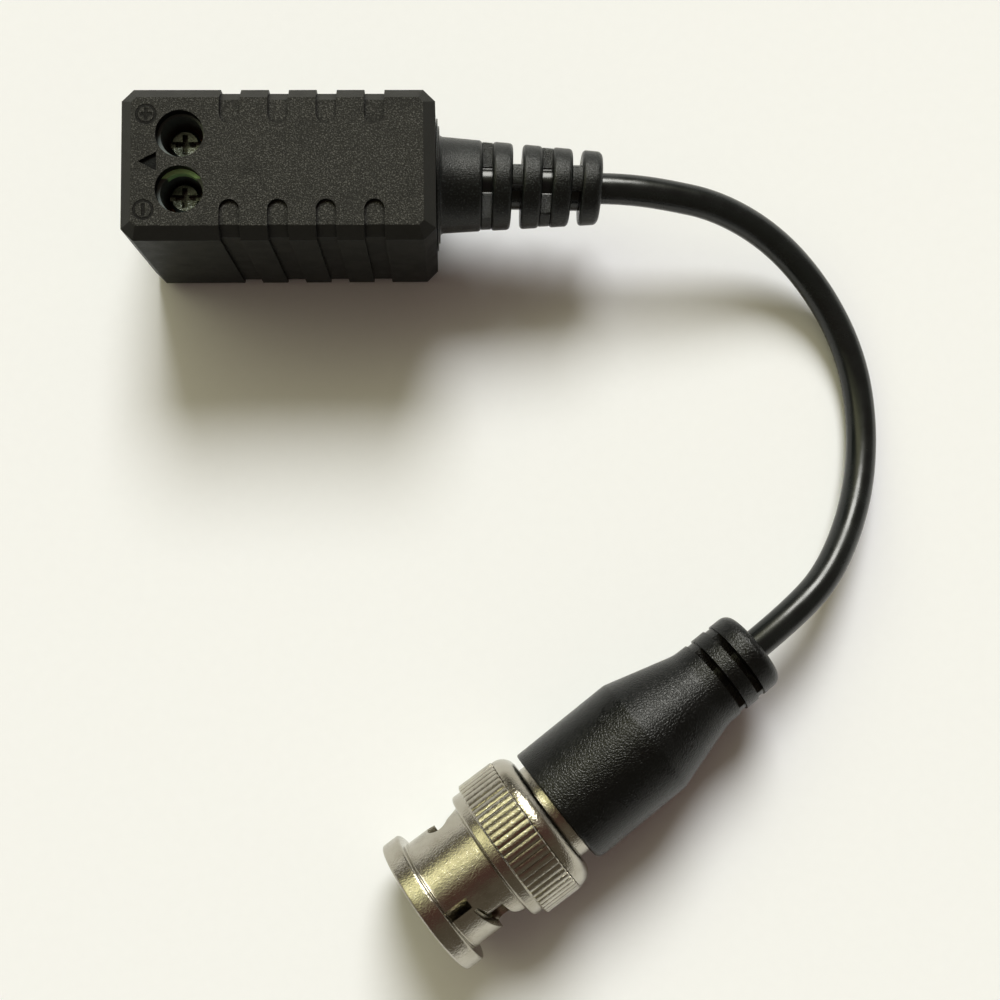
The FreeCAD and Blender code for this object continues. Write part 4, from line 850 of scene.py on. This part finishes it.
# Screws painted dark as the shade deep in their wells
SHADED_SCREW_METAL = metal_material("screw_nickel_shaded", (0.12, 0.13, 0.12, 1), (0.02, 0.025, 0.02, 1), 0.22, 3.0)
MATERIALS = {
    "housing": housing_material(),
    "relief_moulding": relief_material(),
    "boot_moulding": boot_material(),
    "cable_jacket": jacket_material(),
    "terminal_green": block_material(),
    "nickel": metal_material("nickel_plate", (0.46, 0.435, 0.375, 1), (0.36, 0.335, 0.275, 1), 0.14, 2.2),
    "brass": metal_material("brass", (0.8, 0.6, 0.28, 1), (0.66, 0.46, 0.2, 1), 0.25),
    "steel": metal_material("steel", (0.6, 0.6, 0.6, 1), (0.45, 0.45, 0.45, 1), 0.3),
    "board": plastic_material("board_green", (0.02, 0.12, 0.04, 1), (0.015, 0.1, 0.035, 1), 0.35),
    "ferrite": plastic_material("ferrite", (0.04, 0.04, 0.042, 1), (0.03, 0.03, 0.03, 1), 0.55,
                                4000.0, 0.00004),
    "copper": metal_material("copper", (0.72, 0.33, 0.16, 1), (0.55, 0.22, 0.1, 1), 0.28),
    "component_black": plastic_material("component_black", grey(0.02), grey(0.03), 0.5),
    "chip_ceramic": plastic_material("chip_ceramic", (0.45, 0.34, 0.2, 1), (0.36, 0.27, 0.16, 1), 0.5),
    "dielectric": plastic_material("dielectric", (0.82, 0.8, 0.74, 1), (0.76, 0.74, 0.68, 1), 0.35),
    "seal_rubber": plastic_material("seal_rubber", (0.28, 0.05, 0.03, 1), (0.22, 0.04, 0.03, 1), 0.6),
}


def dress(piece, material):
    """Gives a piece one material."""
    piece.data.materials.clear()
    piece.data.materials.append(material)


slots = {entry["node"]: entry["material_slot"] for entry in frame["record"]["subparts"]}
for name, piece in frame["nodes"].items():
    material = SHADED_SCREW_METAL if name.startswith("screw_") else MATERIALS[slots[name]]
    for slot in piece.material_slots:
        slot.material = material
    if not piece.material_slots:
        dress(piece, material)


# What each piece rides on and replaces

for piece, body, slot, nodes in (
    (cable, ROOT, "cable_jacket", ["cable"]),
    (relief, ROOT, "relief_moulding", ["strain_relief"]),
    (boot, ROOT, "boot_moulding", ["plug_boot"]),
    (rear_ring, "coupling_ring", "nickel", ["coupling_ring"]),
    (sleeve, "coupling_ring", "nickel", ["coupling_ring"]),
):
    dress(piece, MATERIALS[slot])
    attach(piece, body)
    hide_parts(*nodes)


# Floor

PAPER = (0.97, 0.99, 1.06)
FLOOR_HALF = 900
FLOOR_LEVEL = -0.02


def floor_material():
    """Plain pale floor."""
    shade = Shade("floor_white")
    grain = shade.noise(shade.place(), scale=900.0)
    colour = shade.blend(grain, grey(0.89, PAPER), grey(0.91, PAPER))
    shade.set(Base_Color=colour, Roughness=0.9, Specular_IOR_Level=0.1)
    return shade.material


floor_corners = [(across * FLOOR_HALF, along * FLOOR_HALF, FLOOR_LEVEL)
                 for across, along in ((-1, -1), (1, -1), (1, 1), (-1, 1))]
floor = finish_mesh("floor", floor_corners, [(0, 1, 2, 3)], Matrix())
dress(floor, floor_material())


# Light

WINDOW_DIRECTION = (0.03, 0.73, 0.68)
WINDOW_WIDTH = 25
WINDOW_STRENGTH = 3.15
WINDOW_COLOUR = (0.97, 0.965, 0.93)


def window_light():
    """Light from one direction, as wide as a window, with soft shadows."""
    data = bpy.data.lights.new("window", "SUN")
    data.angle = math.radians(WINDOW_WIDTH)
    data.energy = WINDOW_STRENGTH
    data.color = WINDOW_COLOUR
    lamp = bpy.data.objects.new("window", data)
    bpy.context.collection.objects.link(lamp)
    lamp.rotation_euler = (-Vector(WINDOW_DIRECTION)).to_track_quat("-Z", "Y").to_euler()


# The room: pale all round at eye level, dim above that, and overhead a bright window up and left of
# the object, a dark middle and a dim side. Places of colours run from -1 to 1 along a level
# direction, of which HALF_SLANT is half, so that they fit a ramp from 0 to 1. Heights are those of
# a direction's upward part.
ROOM_STRENGTH = 1.9
HALF_SLANT = (-0.29, 0.405, 0.0)
DIM = (0.15, 0.13, 0.10)
BRIGHT = (1.9, 1.86, 1.1)
EYE_LEVEL = [(-0.8, (0.66, 0.66, 0.64)), (0.8, (0.78, 0.78, 0.76))]
EYE_LEVEL_END = (0.06, 0.13)
OVERHEAD = [
    (-1.0, DIM), (-0.45, (0.13, 0.11, 0.08)), (-0.33, (0.11, 0.055, 0.045)), (-0.05, (0.095, 0.04, 0.035)),
    (0.12, (0.11, 0.055, 0.045)), (0.2, (0.40, 0.36, 0.24)), (0.44, (0.65, 0.65, 0.40)),
    (0.56, BRIGHT), (0.76, BRIGHT), (0.86, DIM),
]
OVERHEAD_START = (0.4, 0.56)


def room_colour(colour):
    """A colour as the world's own, before its strength."""
    return (*(part / ROOM_STRENGTH for part in colour), 1)


def world_light():
    """Soft room light."""
    world = bpy.data.worlds.new("room")
    world.use_nodes = True
    nodes, link = world.node_tree.nodes, world.node_tree.links.new
    direction = nodes.new("ShaderNodeTexCoord").outputs["Generated"]
    upward = nodes.new("ShaderNodeSeparateXYZ")
    link(direction, upward.inputs[0])
    slant = nodes.new("ShaderNodeVectorMath")
    slant.operation = "DOT_PRODUCT"
    link(direction, slant.inputs[0])
    slant.inputs[1].default_value = HALF_SLANT
    share = nodes.new("ShaderNodeMath")
    link(slant.outputs["Value"], share.inputs[0])
    share.inputs[1].default_value = 0.5

    def ramp(bands):
        """Colours along the level direction."""
        node = nodes.new("ShaderNodeValToRGB")
        link(share.outputs[0], node.inputs[0])
        elements = node.color_ramp.elements
        while len(elements) < len(bands):
            elements.new(0.5)
        for element, (place, colour) in zip(elements, bands):
            element.position = place / 2 + 0.5
            element.color = room_colour(colour)
        return node.outputs[0]

    def over(below, above, heights):
        """One colour below another, from the first height to the second."""
        height = nodes.new("ShaderNodeMapRange")
        height.interpolation_type = "SMOOTHSTEP"
        link(upward.outputs[2], height.inputs[0])
        height.inputs[1].default_value, height.inputs[2].default_value = heights
        mix = nodes.new("ShaderNodeMix")
        mix.data_type = "RGBA"
        link(height.outputs[0], mix.inputs[0])
        link(below, mix.inputs[6])
        if isinstance(above, bpy.types.NodeSocket):
            link(above, mix.inputs[7])
        else:
            mix.inputs[7].default_value = above
        return mix.outputs[2]

    low = over(ramp(EYE_LEVEL), room_colour(DIM), EYE_LEVEL_END)
    background = nodes["Background"]
    link(over(low, ramp(OVERHEAD), OVERHEAD_START), background.inputs["Color"])
    background.inputs["Strength"].default_value = ROOM_STRENGTH
    bpy.context.scene.world = world


window_light()
world_light()
bpy.context.scene.view_settings.view_transform = "Standard"
